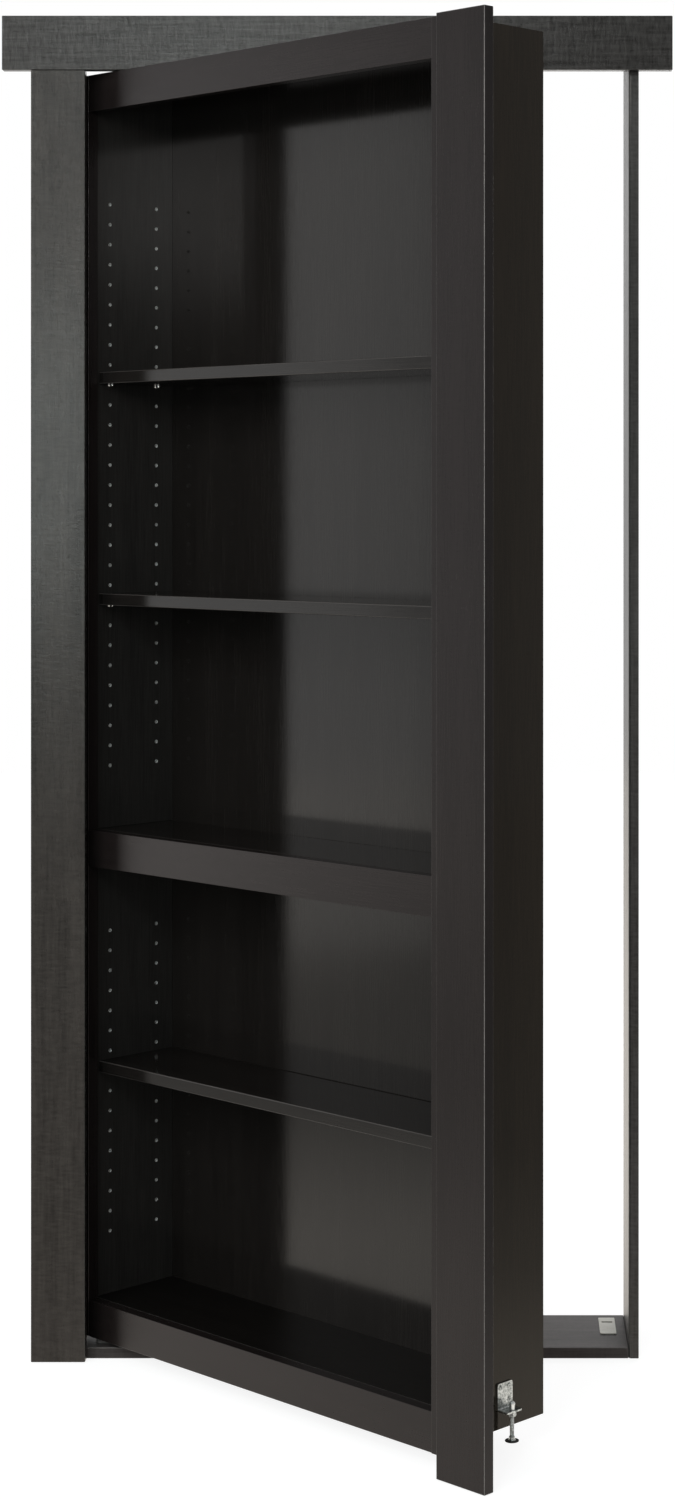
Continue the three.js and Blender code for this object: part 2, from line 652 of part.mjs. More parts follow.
for (const [level, height] of Object.entries(shelfPegHeights)) {
  place(door, `${level}_shelf`, shelf(height), stainedPanel);
  for (const [sideName, side] of Object.entries({ left: -1, right: 1 })) {
    for (const [spot, setback] of Object.entries(pegSetbacks)) {
      const name = `${level}_shelf_support_${sideName}_${spot}`;
      place(door, name, shelfSupport(side), nickel, 0, caseFront + setback, height);
    }
  }
}

place(door, 'levelling_bracket', levellingBracket(), zincSteel);
place(door, 'bracket_nut', bracketNut(), zincSteel);
place(door, 'levelling_stud', levellingStud(), zincSteel);
place(door, 'domed_nut', domedNut(), zincSteel);
place(door, 'levelling_foot', levellingFoot(), blackPlastic);

export default group;
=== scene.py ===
"""Looks of the hidden door bookcase: eased boards, turned hardware, finishes and a studio."""
import json
import logging
import math
from dataclasses import dataclass, field, replace
from enum import Enum
from typing import Iterable, Sequence

import bpy
import numpy as np
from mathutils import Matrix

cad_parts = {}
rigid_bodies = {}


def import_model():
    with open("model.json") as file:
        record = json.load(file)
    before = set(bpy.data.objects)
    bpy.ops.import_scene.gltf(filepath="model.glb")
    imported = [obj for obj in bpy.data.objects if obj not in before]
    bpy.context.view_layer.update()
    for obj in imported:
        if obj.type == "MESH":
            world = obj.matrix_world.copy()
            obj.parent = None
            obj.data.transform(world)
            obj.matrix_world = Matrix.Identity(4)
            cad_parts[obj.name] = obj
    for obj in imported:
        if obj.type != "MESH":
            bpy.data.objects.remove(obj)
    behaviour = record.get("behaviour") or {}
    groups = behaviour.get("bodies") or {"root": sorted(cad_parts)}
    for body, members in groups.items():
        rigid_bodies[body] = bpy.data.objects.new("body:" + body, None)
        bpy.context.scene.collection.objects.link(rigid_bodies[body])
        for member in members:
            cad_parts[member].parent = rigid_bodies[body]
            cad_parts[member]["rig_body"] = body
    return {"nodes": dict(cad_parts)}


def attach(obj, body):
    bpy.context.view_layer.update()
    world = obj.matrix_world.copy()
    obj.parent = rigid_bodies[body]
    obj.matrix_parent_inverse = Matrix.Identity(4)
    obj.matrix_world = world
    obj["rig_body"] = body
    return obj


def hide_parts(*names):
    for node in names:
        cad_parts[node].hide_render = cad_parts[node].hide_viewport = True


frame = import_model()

LOG = logging.getLogger("bookcase")
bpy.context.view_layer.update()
MM = 0.001
SHARP_ANGLE = math.radians(32)
UPSIDE_DOWN = np.diag([1.0, -1.0, -1.0])
WHITE = (1.0, 1.0, 1.0, 1.0)
SHELVES = ("upper", "middle", "lower")


class Axis(Enum):
    """The direction a board's grain and length run, with the order its axes are read in."""

    X = (1, 2, 0)
    Y = (2, 0, 1)
    Z = (0, 1, 2)


class Source(Enum):
    """Where a finish reads its pattern from."""

    BOARD = "grain"
    UPRIGHT = "upright"
    LEVEL = "level"


@dataclass(frozen=True)
class Placement:
    """A turned place on the floor plan.

    Args:
        x: The turning centre's x in metres.
        y: The turning centre's y in metres.
        angle: The turn about z in degrees.
    """

    x: float = 0.0
    y: float = 0.0
    angle: float = 0.0

    def matrix(self) -> np.ndarray:
        """Returns the 3 x 3 rotation from local to row axes."""
        c, s = math.cos(math.radians(self.angle)), math.sin(math.radians(self.angle))
        return np.array([[c, -s, 0.0], [s, c, 0.0], [0.0, 0.0, 1.0]])

    def to_row(self, points: np.ndarray) -> np.ndarray:
        """Returns local points in the row frame."""
        return points @ self.matrix().T + np.array([self.x, self.y, 0.0])

    def to_local(self, points: np.ndarray) -> np.ndarray:
        """Returns row-frame points in local coordinates."""
        return (points - np.array([self.x, self.y, 0.0])) @ self.matrix()

    def spans(self, node: str) -> tuple[np.ndarray, np.ndarray]:
        """The box of a solid in local coordinates.

        Args:
            node: The solid's name.

        Returns:
            Its lowest and highest corners.
        """
        mesh = frame["nodes"][node].data
        points = np.zeros(len(mesh.vertices) * 3, np.float32)
        mesh.vertices.foreach_get("co", points)
        local = self.to_local(points.reshape(-1, 3).astype(float))
        return local.min(0), local.max(0)


WALL = Placement()
DOOR = Placement(x=-0.3518, y=-0.0545, angle=-43.43)


@dataclass
class Surface:
    """Points, faces and what each point carries.

    Args:
        points: An n x 3 array in metres.
        faces: Corner indices of each face, counter-clockwise from outside.
        normals: An n x 3 array of shading normals, or None to let them be worked out.
        grain: An n x 3 array of places in the wood, its first axis along the grain.
        wear_and_highlight: n values from 0 on a flat to 1 on an arris, where the finish paints wear and a
            painted highlight.
    """

    points: np.ndarray
    faces: list[list[int]]
    normals: np.ndarray | None = None
    grain: np.ndarray | None = None
    wear_and_highlight: np.ndarray | None = None

    def turned_by(self, rotation: np.ndarray) -> "Surface":
        """Returns the surface turned by a 3 x 3 rotation about the origin."""
        normals = None if self.normals is None else self.normals @ rotation.T
        return Surface(self.points @ rotation.T, self.faces, normals, self.grain, self.wear_and_highlight)

    def repeated(self, places: np.ndarray) -> "Surface":
        """Copies of the surface, one moved to each place, as one surface.

        Args:
            places: A k x 3 array of offsets.

        Returns:
            The k copies together.
        """
        count, size = len(places), len(self.points)
        points = (self.points[None] + places[:, None]).reshape(-1, 3)
        faces = [[corner + copy * size for corner in face] for copy in range(count) for face in self.faces]
        normals = None if self.normals is None else np.tile(self.normals, (count, 1))
        return Surface(points, faces, normals)

    def placed(self, placement: Placement) -> "Surface":
        """Returns the surface moved from local to row coordinates."""
        normals = None if self.normals is None else self.normals @ placement.matrix().T
        return Surface(placement.to_row(self.points), self.faces, normals, self.grain, self.wear_and_highlight)


def grid_faces(rows: int, columns: int, wrap_rows: bool, wrap_columns: bool) -> list[list[int]]:
    """Quads over a grid of points numbered row by row.

    Args:
        rows: Number of rows.
        columns: Number of columns.
        wrap_rows: Whether the last row joins the first.
        wrap_columns: Whether the last column joins the first.

    Returns:
        The corner indices of each quad.
    """
    row = np.arange(rows if wrap_rows else rows - 1)[:, None]
    column = np.arange(columns if wrap_columns else columns - 1)[None]
    next_row, next_column = (row + 1) % rows, (column + 1) % columns
    corners = [row * columns + column, row * columns + next_column,
               next_row * columns + next_column, next_row * columns + column]
    return np.stack(np.broadcast_arrays(*corners), -1).reshape(-1, 4).tolist()


def capped_faces(rows: int, columns: int) -> list[list[int]]:
    """Quads round a tube of points, with one face over each end.

    Args:
        rows: Number of rings.
        columns: Points in each ring.

    Returns:
        The corner indices of each face.
    """
    faces = grid_faces(rows, columns, False, True)
    faces.append(list(range(columns))[::-1])
    faces.append(list(range((rows - 1) * columns, rows * columns)))
    return faces


def corner_turns(steps: int) -> tuple[np.ndarray, np.ndarray]:
    """Angles round the four corners of a section.

    Args:
        steps: Steps round each quarter turn.

    Returns:
        The angles of the first quarter, and those of all four in order.
    """
    quarter = np.linspace(0.0, math.pi / 2, steps + 1)
    return quarter, np.concatenate([quarter + turn * math.pi / 2 for turn in range(4)])


def rings(centres: np.ndarray, radius: np.ndarray, around: np.ndarray, along: np.ndarray) -> np.ndarray:
    """Rings of points, each at its centre plus radius times (cos u, sin u).

    Args:
        centres: Centre of each point's arc, its last axis the two directions of the section.
        radius: Radius of each ring or point.
        around: Angle u of each point.
        along: Place of each ring along the length.

    Returns:
        A rings x points x 3 array.
    """
    cells = [centres[..., 0] + radius * np.cos(around), centres[..., 1] + radius * np.sin(around), along]
    return np.stack(np.broadcast_arrays(*cells), -1)


def eased_board(low: np.ndarray, high: np.ndarray, along: Axis, arris: float,
                worn_and_highlit: Sequence[float] = (1.0, 1.0, 1.0, 1.0), steps: int = 4) -> Surface:
    """A board with rounded long arrises and rounded end arrises.

    A ring runs round the section: corner centre plus (arris - inset) times (cos u, sin u). Rings
    follow the length: near an end, at angle v, inset is e (1 - cos v) and the ring lies e (1 - sin v)
    from the end, with e = 0.8 arris. The normal is cos v times (cos u, sin u) plus sin v times the
    end's own direction.

    Args:
        low: The lowest corner, in metres.
        high: The highest corner.
        along: The direction of the board's length.
        arris: Radius of the long edges.
        worn_and_highlit: Wear and painted highlight of the four long edges, from the section's high corner
            round by its first axis.
        steps: Steps round each quarter turn.

    Returns:
        The closed board with its grain coordinates and arris values for wear and painted highlight.
    """
    first, second, third = along.value
    quarter, around = corner_turns(steps)
    right, left = high[first] - arris, low[first] + arris
    top, bottom = high[second] - arris, low[second] + arris
    centres = np.repeat([[right, top], [left, top], [left, bottom], [right, bottom]], steps + 1, axis=0)
    lift = np.concatenate([quarter[::-1], quarter])[:, None]
    nearer = np.arange(len(lift))[:, None] < len(quarter)
    end = 0.8 * arris
    tip = end * (1 - np.sin(lift))
    station = np.where(nearer, low[third] + tip, high[third] - tip)
    local = rings(centres, arris - end * (1 - np.cos(lift)), around, station).reshape(-1, 3)
    facing = rings(np.zeros(2), np.cos(lift), around, np.sin(lift) * np.where(nearer, -1.0, 1.0))
    share = np.tile(np.linspace(0.0, 1.0, steps + 1), 4)
    # Arris values: where the finish paints wear and a painted highlight.
    wear_and_highlight = np.maximum(np.sin(math.pi * share) * np.cos(lift), np.sin(2 * lift)) * np.repeat(worn_and_highlit, steps + 1)
    points, normals = np.empty_like(local), np.empty_like(local)
    points[:, [first, second, third]] = local
    normals[:, [first, second, third]] = facing.reshape(-1, 3)
    return Surface(points, capped_faces(*wear_and_highlight.shape), normals, local[:, [2, 0, 1]], wear_and_highlight.ravel())


def housed_post(low: np.ndarray, high: np.ndarray, radii: Sequence[float], shoulder: float,
                housing: float, inner: float, ease: float = 0.3 * MM, steps: int = 6) -> Surface:
    """An upright post with rounded long edges and a housing cut across the top of its inner side.

    A ring at each height is (X + s r, Y + t r) less r (s, t) plus r (cos u, sin u) at each corner,
    where s and t are the corner's signs and r its radius. Above the shoulder X of the inner corners
    moves back by the housing.

    Args:
        low: The lowest corner, in metres.
        high: The highest corner.
        radii: Radius of each long edge, from the high corner round by the low x.
        shoulder: Height of the housing's floor.
        housing: Its depth.
        inner: +1 where the inner side faces +X.
        ease: Size of the eased ends and of the step to the housing.
        steps: Steps round each quarter turn.

    Returns:
        The closed post with its grain coordinates and arris values for wear and painted highlight.
    """
    around = corner_turns(steps)[1]
    signs = np.array([[1.0, 1.0], [-1.0, 1.0], [-1.0, -1.0], [1.0, -1.0]])
    heights = np.array([low[2], low[2] + ease, shoulder, shoulder + ease, high[2] - ease, high[2]])
    insets = np.array([ease, 0.0, 0.0, 0.0, 0.0, ease])[:, None]
    ends = np.array([-1.0, 0.0, 0.0, 0.0, 0.0, 1.0])[:, None]
    edges = np.where(signs > 0, high[:2], low[:2])[None].repeat(len(heights), 0)
    edges[heights > shoulder, :, 0] -= inner * housing * (signs[:, 0] == inner)
    centres = (edges - signs * np.array(radii)[:, None]).repeat(steps + 1, 1)
    reach = np.repeat(radii, steps + 1)[None] - insets
    points = rings(centres, reach, around, heights[:, None]).reshape(-1, 3)
    facing = rings(np.zeros(2), 1.0 - np.abs(ends), around, ends).reshape(-1, 3)
    share = np.tile(np.linspace(0.0, 1.0, steps + 1), 4)
    # Arris values: where the finish paints wear and a painted highlight.
    wear_and_highlight = np.tile(np.sin(math.pi * share), (len(heights), 1))
    return Surface(points, capped_faces(*wear_and_highlight.shape), facing, points[:, [2, 0, 1]], wear_and_highlight.ravel())


def filleted(profile: Sequence[tuple[float, float]], radius: float, closed: bool,
             steps: int = 3) -> np.ndarray:
    """A profile whose corners are rounded.

    Each corner C becomes the curve (1-t)^2 A + 2t(1-t) C + t^2 B, where A and B lie on the two sides,
    the radius or 0.45 of the side away from C.

    Args:
        profile: (radius, height) corners.
        radius: Distance from a corner at which the curve starts.
        closed: Whether the last corner joins the first. The ends of an open profile stay sharp.
        steps: Steps along each curve.

    Returns:
        An n x 2 array of profile points.
    """
    corners = np.array(profile, float)
    before, after = np.roll(corners, 1, axis=0) - corners, np.roll(corners, -1, axis=0) - corners
    back, on = (np.linalg.norm(side, axis=1, keepdims=True) for side in (before, after))
    start = corners + before / back * np.minimum(radius, 0.45 * back)
    stop = corners + after / on * np.minimum(radius, 0.45 * on)
    t = np.linspace(0.0, 1.0, steps + 1)[None, :, None]
    curves = (1 - t) ** 2 * start[:, None] + 2 * t * (1 - t) * corners[:, None] + t**2 * stop[:, None]
    if closed:
        return curves.reshape(-1, 2)
    return np.concatenate([corners[:1], curves[1:-1].reshape(-1, 2), corners[-1:]])


def turned(profile: np.ndarray, closed: bool, sides: int = 40) -> Surface:
    """A profile turned about the z axis.

    The point at angle a is (r cos a, r sin a, h). Its normal is the profile's own, the mean of its
    two sides weighted by their length, so that flats stay flat.

    Args:
        profile: n x 2 array of (radius, height), anticlockwise as seen with the radius to the right.
            An open one starts at the bottom of the axis and ends at its top.
        closed: Whether the profile is a loop clear of the axis.
        sides: Number of sides.

    Returns:
        The closed turned surface.
    """
    angle = np.linspace(0.0, 2 * math.pi, sides, endpoint=False)
    forward = np.roll(profile, -1, axis=0) - profile
    if not closed:
        forward[-1] = 0.0
    normal = np.stack([forward[:, 1], -forward[:, 0]], 1)
    normal = normal + np.roll(normal, 1, axis=0)
    normal /= np.maximum(np.linalg.norm(normal, axis=1, keepdims=True), 1e-12)
    ring = profile if closed else profile[1:-1]
    ring_normal = normal if closed else normal[1:-1]

    def around(values: np.ndarray) -> np.ndarray:
        """Returns (radius, height) values carried round the axis."""
        cells = [values[:, :1] * np.cos(angle), values[:, :1] * np.sin(angle), values[:, 1:] + 0 * angle]
        return np.stack(cells, -1).reshape(-1, 3)

    points, normals = around(ring), around(ring_normal)
    faces = grid_faces(len(ring), sides, closed, True)
    if closed:
        return Surface(points, faces, normals)
    count = len(points)
    last = count - sides
    faces += [[count, (k + 1) % sides, k] for k in range(sides)]
    faces += [[count + 1, last + k, last + (k + 1) % sides] for k in range(sides)]
    poles = np.array([[0.0, 0.0, profile[0, 1]], [0.0, 0.0, profile[-1, 1]]])
    pole_normals = np.array([[0.0, 0.0, -1.0], [0.0, 0.0, 1.0]])
    return Surface(np.concatenate([points, poles]), faces, np.concatenate([normals, pole_normals]))


def threaded_rod(radius: float, base: float, top: float, pitch: float, depth: float,
                 sides: int = 24, rows_a_turn: int = 8) -> Surface:
    """A rod with a screw thread.

    The radius at angle a and height z is R - d |2 frac(z/p - a/2pi) - 1|, and it shrinks to R - d at
    both ends.

    Args:
        radius: Radius over the crests.
        base: Lower end.
        top: Upper end.
        pitch: Thread pitch.
        depth: Thread depth.
        sides: Number of sides.
        rows_a_turn: Rings in each turn of the thread.

    Returns:
        The closed rod, without stated normals.
    """
    rows = int((top - base) / pitch * rows_a_turn)
    height = np.linspace(base, top, rows)[:, None]
    angle = np.linspace(0.0, 2 * math.pi, sides, endpoint=False)[None]
    phase = np.mod(height / pitch - angle / (2 * math.pi), 1.0)
    fade = np.clip(np.minimum(height - base, top - height) / pitch, 0.0, 1.0)
    reach = radius - depth * (1 - fade * (1 - np.abs(2 * phase - 1)))
    points = rings(np.zeros(2), reach, angle, height).reshape(-1, 3)
    return Surface(points, capped_faces(rows, sides))


@dataclass(frozen=True)
class CrossScrew:
    """A screw with a cross recess, its head at height zero and its point downwards.

    Args:
        head: Head radius.
        shank: Shank radius.
        length: Length below the head's top.
        sink: Height of the cone under the head.
        sides: Number of sides.
        crown: Rise of the head's middle, over its radius.
        recess: Depth of the cross, over the head radius.
        blade: Slope across each arm of the cross, over the head radius.
        arm: Slope along each arm, over the head radius.
        face_rings: Number of rings on the head's face.
        hub: Radius of the innermost of them, over the head radius.
        rim: Height of the head's straight rim, over the cone's height.
        taper: Where the point starts, over the length.
        tip: Radius of the point's end, over the shank's.
    """

    head: float
    shank: float
    length: float
    sink: float
    sides: int = 32
    crown: float = 0.12
    recess: float = 0.35
    blade: float = 0.11
    arm: float = 0.16
    face_rings: int = 12
    hub: float = 0.08
    rim: float = 0.15
    taper: float = 0.9
    tip: float = 0.5

    def outline(self) -> tuple[np.ndarray, np.ndarray]:
        """Lists the screw's rings from the middle of the head to the point.

        Returns:
            The radius and height of each ring.
        """
        face = np.linspace(self.hub, 1.0, self.face_rings) * self.head
        radii = np.concatenate([face, [self.head, self.shank, self.shank, self.shank * self.tip]])
        lower = [-self.sink * self.rim, -self.sink, -self.length * self.taper, -self.length]
        return radii, np.concatenate([0 * face, lower])

    def surface(self) -> Surface:
        """Turns the screw and presses the cross into its head.

        The face's height is c (1 - (r/h)^2) less q m, with m = clip(1.6 - narrow/b) clip(4 - wide/a),
        where narrow and wide are the lesser and greater of |x| and |y|, h is the head radius, and c,
        q, b and a are the crown, recess, blade and arm.

        Returns:
            The closed screw, without stated normals.
        """
        radii, drops = self.outline()
        angle = np.linspace(0.0, 2 * math.pi, self.sides, endpoint=False)[None]
        x, y = radii[:, None] * np.cos(angle), radii[:, None] * np.sin(angle)
        narrow, wide = np.minimum(np.abs(x), np.abs(y)), np.maximum(np.abs(x), np.abs(y))
        mask = np.clip(1.6 - narrow / (self.blade * self.head), 0.0, 1.0)
        mask *= np.clip(4 - wide / (self.arm * self.head), 0.0, 1.0)
        mask[self.face_rings:] = 0.0
        on_face = np.arange(len(radii))[:, None] < self.face_rings
        crown = self.crown * self.head * (1 - (radii[:, None] / self.head) ** 2) * on_face
        z = drops[:, None] + crown - self.recess * self.head * mask
        middle = (self.crown - self.recess) * self.head
        poles = [[0.0, 0.0, middle], [0.0, 0.0, -self.length * 1.03]]
        points = np.concatenate([np.stack([x, y, z], -1).reshape(-1, 3), poles])
        return Surface(points, self.faces(len(radii)))

    def faces(self, rows: int) -> list[list[int]]:
        """Quads between the rings and a fan at each pole.

        Args:
            rows: Number of rings.

        Returns:
            The corner indices of each face.
        """
        faces = [face[::-1] for face in grid_faces(rows, self.sides, False, True)]
        count, last = rows * self.sides, (rows - 1) * self.sides
        faces += [[count, k, (k + 1) % self.sides] for k in range(self.sides)]
        faces += [[count + 1, last + (k + 1) % self.sides, last + k] for k in range(self.sides)]
        return faces


def aimed(direction: Sequence[float]) -> np.ndarray:
    """The rotation that takes +Z to a direction.

    Args:
        direction: A unit vector along a local axis.

    Returns:
        A 3 x 3 rotation with the direction as its third column.
    """
    third = np.array(direction, float)
    helper = np.array([0.0, 1.0, 0.0]) if abs(third[1]) < 0.9 else np.array([1.0, 0.0, 0.0])
    first = np.cross(helper, third)
    first /= np.linalg.norm(first)
    return np.stack([first, np.cross(third, first), third], 1)


class Sheet:
    """A node tree being laid out."""

    def __init__(self, tree: bpy.types.NodeTree) -> None:
        """Starts on an empty tree."""
        self.tree = tree
        tree.nodes.clear()

    def node(self, kind: str, settings: dict | None = None, **values: object) -> bpy.types.Node:
        """Adds a node.

        Args:
            kind: The node's type.
            settings: Properties to set on it.
            **values: Input values or sockets, by name with _ for a space, or in_N for input N.

        Returns:
            The node.
        """
        made = self.tree.nodes.new(kind)
        for key, value in (settings or {}).items():
            setattr(made, key, value)
        for key, value in values.items():
            socket = made.inputs[int(key[3:]) if key.startswith("in_") else key.replace("_", " ")]
            if isinstance(value, bpy.types.NodeSocket):
                self.tree.links.new(value, socket)
            else:
                socket.default_value = value
        return made

    def math(self, operation: str, first: object, second: object = 0.0) -> bpy.types.NodeSocket:
        """Returns the result of a Math node."""
        return self.node("ShaderNodeMath", {"operation": operation}, in_0=first, in_1=second).outputs[0]

    def fit(self, value: object, low: float, high: float, to_low: float = 0.0,
            to_high: object = 1.0) -> bpy.types.NodeSocket:
        """Carries a value from one range to another and holds it inside that.

        Args:
            value: The value.
            low: Where the first range starts.
            high: Where it ends.
            to_low: Where the second range starts.
            to_high: Where it ends.

        Returns:
            The result.
        """
        made = self.node("ShaderNodeMapRange", {"clamp": True}, in_0=value, in_1=low, in_2=high,
                         in_3=to_low, in_4=to_high)
        return made.outputs[0]

    def mix(self, share: object, first: object, second: object) -> bpy.types.NodeSocket:
        """Returns a colour between two colours."""
        made = self.node("ShaderNodeMix", {"data_type": "RGBA"}, in_0=share, in_6=first, in_7=second)
        return made.outputs[2]

    def noise(self, vector: object, stretch: Sequence[float], detail: float,
              rough: float) -> bpy.types.NodeSocket:
        """Noise that is stretched along the grain.

        Args:
            vector: The pattern's place.
            stretch: Cycles a metre along each axis.
            detail: Octaves.
            rough: Their roughness.

        Returns:
            A value from 0 to 1.
        """
        scaled = self.node("ShaderNodeVectorMath", {"operation": "MULTIPLY"}, in_0=vector,
                           in_1=tuple(stretch))
        made = self.node("ShaderNodeTexNoise", None, Vector=scaled.outputs[0], Scale=1.0,
                         Detail=detail, Roughness=rough)
        return made.outputs["Fac"]


class EffectGroup:
    """A shared shader effect with named inputs and outputs, built once."""

    name = "Effect"
    inputs: Sequence[tuple[str, str, object]] = ()
    outputs: Sequence[tuple[str, str]] = ()

    def __init__(self) -> None:
        """Makes the group's tree and lays it out."""
        self.tree = bpy.data.node_groups.new(self.name, "ShaderNodeTree")
        for label, kind, value in self.inputs:
            socket = self.tree.interface.new_socket(label, in_out="INPUT", socket_type=kind)
            if value is not None:
                socket.default_value = value
        for label, kind in self.outputs:
            self.tree.interface.new_socket(label, in_out="OUTPUT", socket_type=kind)
        sheet = Sheet(self.tree)
        entry = sheet.node("NodeGroupInput")
        results = self.lay_out(sheet, entry)
        leave = sheet.node("NodeGroupOutput")
        for label, socket in results.items():
            self.tree.links.new(socket, leave.inputs[label])

    def lay_out(self, sheet: Sheet, entry: bpy.types.Node) -> dict[str, bpy.types.NodeSocket]:
        """Adds the effect's nodes.

        Args:
            sheet: The tree.
            entry: The group's input node.

        Returns:
            The socket for each output.
        """
        raise NotImplementedError

    def use(self, sheet: Sheet, **values: object) -> bpy.types.Node:
        """Places the group in a material.

        Args:
            sheet: The material's tree.
            **values: Input values or sockets.

        Returns:
            The group node.
        """
        return sheet.node("ShaderNodeGroup", {"node_tree": self.tree}, **values)


class WoodGrain(EffectGroup):
    """Long figure, fine fibres and a woven cross texture of a stained board."""

    name = "Wood grain"
    inputs = (("Place", "NodeSocketVector", None), ("Weave", "NodeSocketFloat", 0.3))
    outputs = (("Figure", "NodeSocketFloat"), ("Fibre", "NodeSocketFloat"), ("Height", "NodeSocketFloat"))
    figure_cycles = (1.4, 22.0, 22.0)
    fibre_cycles = (16.0, 420.0, 420.0)
    stroke_cycles = (240.0, 60.0, 60.0)
    thread_cycles = (14.0, 190.0, 190.0)

    def lay_out(self, sheet: Sheet, entry: bpy.types.Node) -> dict[str, bpy.types.NodeSocket]:
        """Figure is slow along the grain and quick across it; the weave adds short strokes across it.

        Args:
            sheet: The group's tree.
            entry: Its input node.

        Returns:
            The socket for each output.
        """
        place = entry.outputs["Place"]
        figure = sheet.noise(place, self.figure_cycles, 4.0, 0.6)
        fibre = sheet.noise(place, self.fibre_cycles, 3.0, 0.6)
        stroke = sheet.noise(place, self.stroke_cycles, 2.0, 0.6)
        thread = sheet.noise(place, self.thread_cycles, 3.0, 0.6)
        cloth = sheet.math("ADD", sheet.math("MULTIPLY", stroke, 0.5), sheet.math("MULTIPLY", thread, 0.5))
        woven = sheet.node("ShaderNodeMix", {"data_type": "FLOAT"}, in_0=entry.outputs["Weave"],
                           in_2=fibre, in_3=cloth).outputs[0]
        return {"Figure": sheet.fit(figure, 0.3, 0.7), "Fibre": sheet.fit(woven, 0.36, 0.64), "Height": woven}


class ArrisWearAndHighlight(EffectGroup):
    """Where a stained arris shows lighter: wear plus a painted highlight."""

    name = "Arris wear and painted highlight"
    inputs = (("Arris", "NodeSocketFloat", 0.0), ("Fibre", "NodeSocketFloat", 0.5),
              ("Amount", "NodeSocketFloat", 0.5))
    outputs = (("Mask", "NodeSocketFloat"),)
    least = 0.55

    def lay_out(self, sheet: Sheet, entry: bpy.types.Node) -> dict[str, bpy.types.NodeSocket]:
        """The mask, wear plus a painted highlight, is the arris times its amount, broken up by the fibres.

        Args:
            sheet: The group's tree.
            entry: Its input node.

        Returns:
            The socket for each output.
        """
        broken = sheet.fit(entry.outputs["Fibre"], 0.0, 1.0, self.least)
        worn_and_highlit = sheet.math("MULTIPLY", entry.outputs["Arris"], entry.outputs["Amount"])
        return {"Mask": sheet.math("MULTIPLY", worn_and_highlit, broken)}


class Handling(EffectGroup):
    """Uneven gloss left by the coat and by hands."""

    name = "Handling"
    inputs = (("Place", "NodeSocketVector", None), ("Level", "NodeSocketFloat", 0.4),
              ("Spread", "NodeSocketFloat", 0.05))
    outputs = (("Roughness", "NodeSocketFloat"),)
    coat_cycles = (3.0, 5.0, 5.0)
    touch_cycles = (70.0, 240.0, 240.0)

    def lay_out(self, sheet: Sheet, entry: bpy.types.Node) -> dict[str, bpy.types.NodeSocket]:
        """Roughness is its level plus slow and quick noise times the spread.

        Args:
            sheet: The group's tree.
            entry: Its input node.

        Returns:
            The socket for each output.
        """
        slow = sheet.noise(entry.outputs["Place"], self.coat_cycles, 2.0, 0.5)
        quick = sheet.noise(entry.outputs["Place"], self.touch_cycles, 2.0, 0.5)
        both = sheet.math("SUBTRACT", sheet.math("ADD", slow, quick), 1.0)
        spread = sheet.math("MULTIPLY", both, sheet.math("MULTIPLY", entry.outputs["Spread"], 2.0))
        return {"Roughness": sheet.math("ADD", entry.outputs["Level"], spread)}


class PlatedMetal(EffectGroup):
    """Cloudy plating with fine scratches."""

    name = "Plated metal"
    inputs = (("Place", "NodeSocketVector", None), ("Light", "NodeSocketColor", (0.7, 0.7, 0.7, 1.0)),
              ("Dark", "NodeSocketColor", (0.4, 0.4, 0.4, 1.0)), ("Level", "NodeSocketFloat", 0.35))
    outputs = (("Color", "NodeSocketColor"), ("Roughness", "NodeSocketFloat"), ("Height", "NodeSocketFloat"))
    cloud_cycles = (330.0, 330.0, 330.0)
    scratch_cycles = (2200.0, 500.0, 300.0)

    def lay_out(self, sheet: Sheet, entry: bpy.types.Node) -> dict[str, bpy.types.NodeSocket]:
        """Colour runs between light and dark with cloudy noise, and roughness follows the scratches.

        Args:
            sheet: The group's tree.
            entry: Its input node.

        Returns:
            The socket for each output.
        """
        place = entry.outputs["Place"]
        cloud = sheet.fit(sheet.noise(place, self.cloud_cycles, 3.0, 0.65), 0.36, 0.6)
        scratch = sheet.noise(place, self.scratch_cycles, 2.0, 0.5)
        rough = sheet.math("ADD", entry.outputs["Level"], sheet.fit(scratch, 0.3, 0.7, -0.06, 0.1))
        color = sheet.mix(cloud, entry.outputs["Dark"], entry.outputs["Light"])
        return {"Color": color, "Roughness": rough, "Height": scratch}


class MouldedGrain(EffectGroup):
    """The fine skin of a moulded plastic piece."""

    name = "Moulded grain"
    inputs = (("Place", "NodeSocketVector", None), ("Base", "NodeSocketColor", (0.5, 0.5, 0.5, 1.0)),
              ("Shade", "NodeSocketColor", (0.3, 0.3, 0.3, 1.0)))
    outputs = (("Color", "NodeSocketColor"), ("Height", "NodeSocketFloat"))
    drift_cycles = (60.0, 60.0, 60.0)
    skin_cycles = (1800.0, 1800.0, 1800.0)

    def lay_out(self, sheet: Sheet, entry: bpy.types.Node) -> dict[str, bpy.types.NodeSocket]:
        """Colour drifts a little towards the shade; the height is a fine even grain.

        Args:
            sheet: The group's tree.
            entry: Its input node.

        Returns:
            The socket for each output.
        """
        place = entry.outputs["Place"]
        drift = sheet.fit(sheet.noise(place, self.drift_cycles, 3.0, 0.6), 0.4, 0.75, 0.0, 0.6)
        skin = sheet.noise(place, self.skin_cycles, 2.0, 0.5)
        return {"Color": sheet.mix(drift, entry.outputs["Base"], entry.outputs["Shade"]), "Height": skin}


@dataclass
class Effects:
    """The shared effects, each built once."""

    grain: EffectGroup = field(default_factory=WoodGrain)
    arris: EffectGroup = field(default_factory=ArrisWearAndHighlight)
    handling: EffectGroup = field(default_factory=Handling)
    plating: EffectGroup = field(default_factory=PlatedMetal)
    moulded: EffectGroup = field(default_factory=MouldedGrain)


def new_sheet(name: str) -> tuple[bpy.types.Material, Sheet]:
    """Starts a material.

    Args:
        name: The material's name.

    Returns:
        The material and its empty tree.
    """
    material = bpy.data.materials.new(name)
    material.use_nodes = True
    return material, Sheet(material.node_tree)


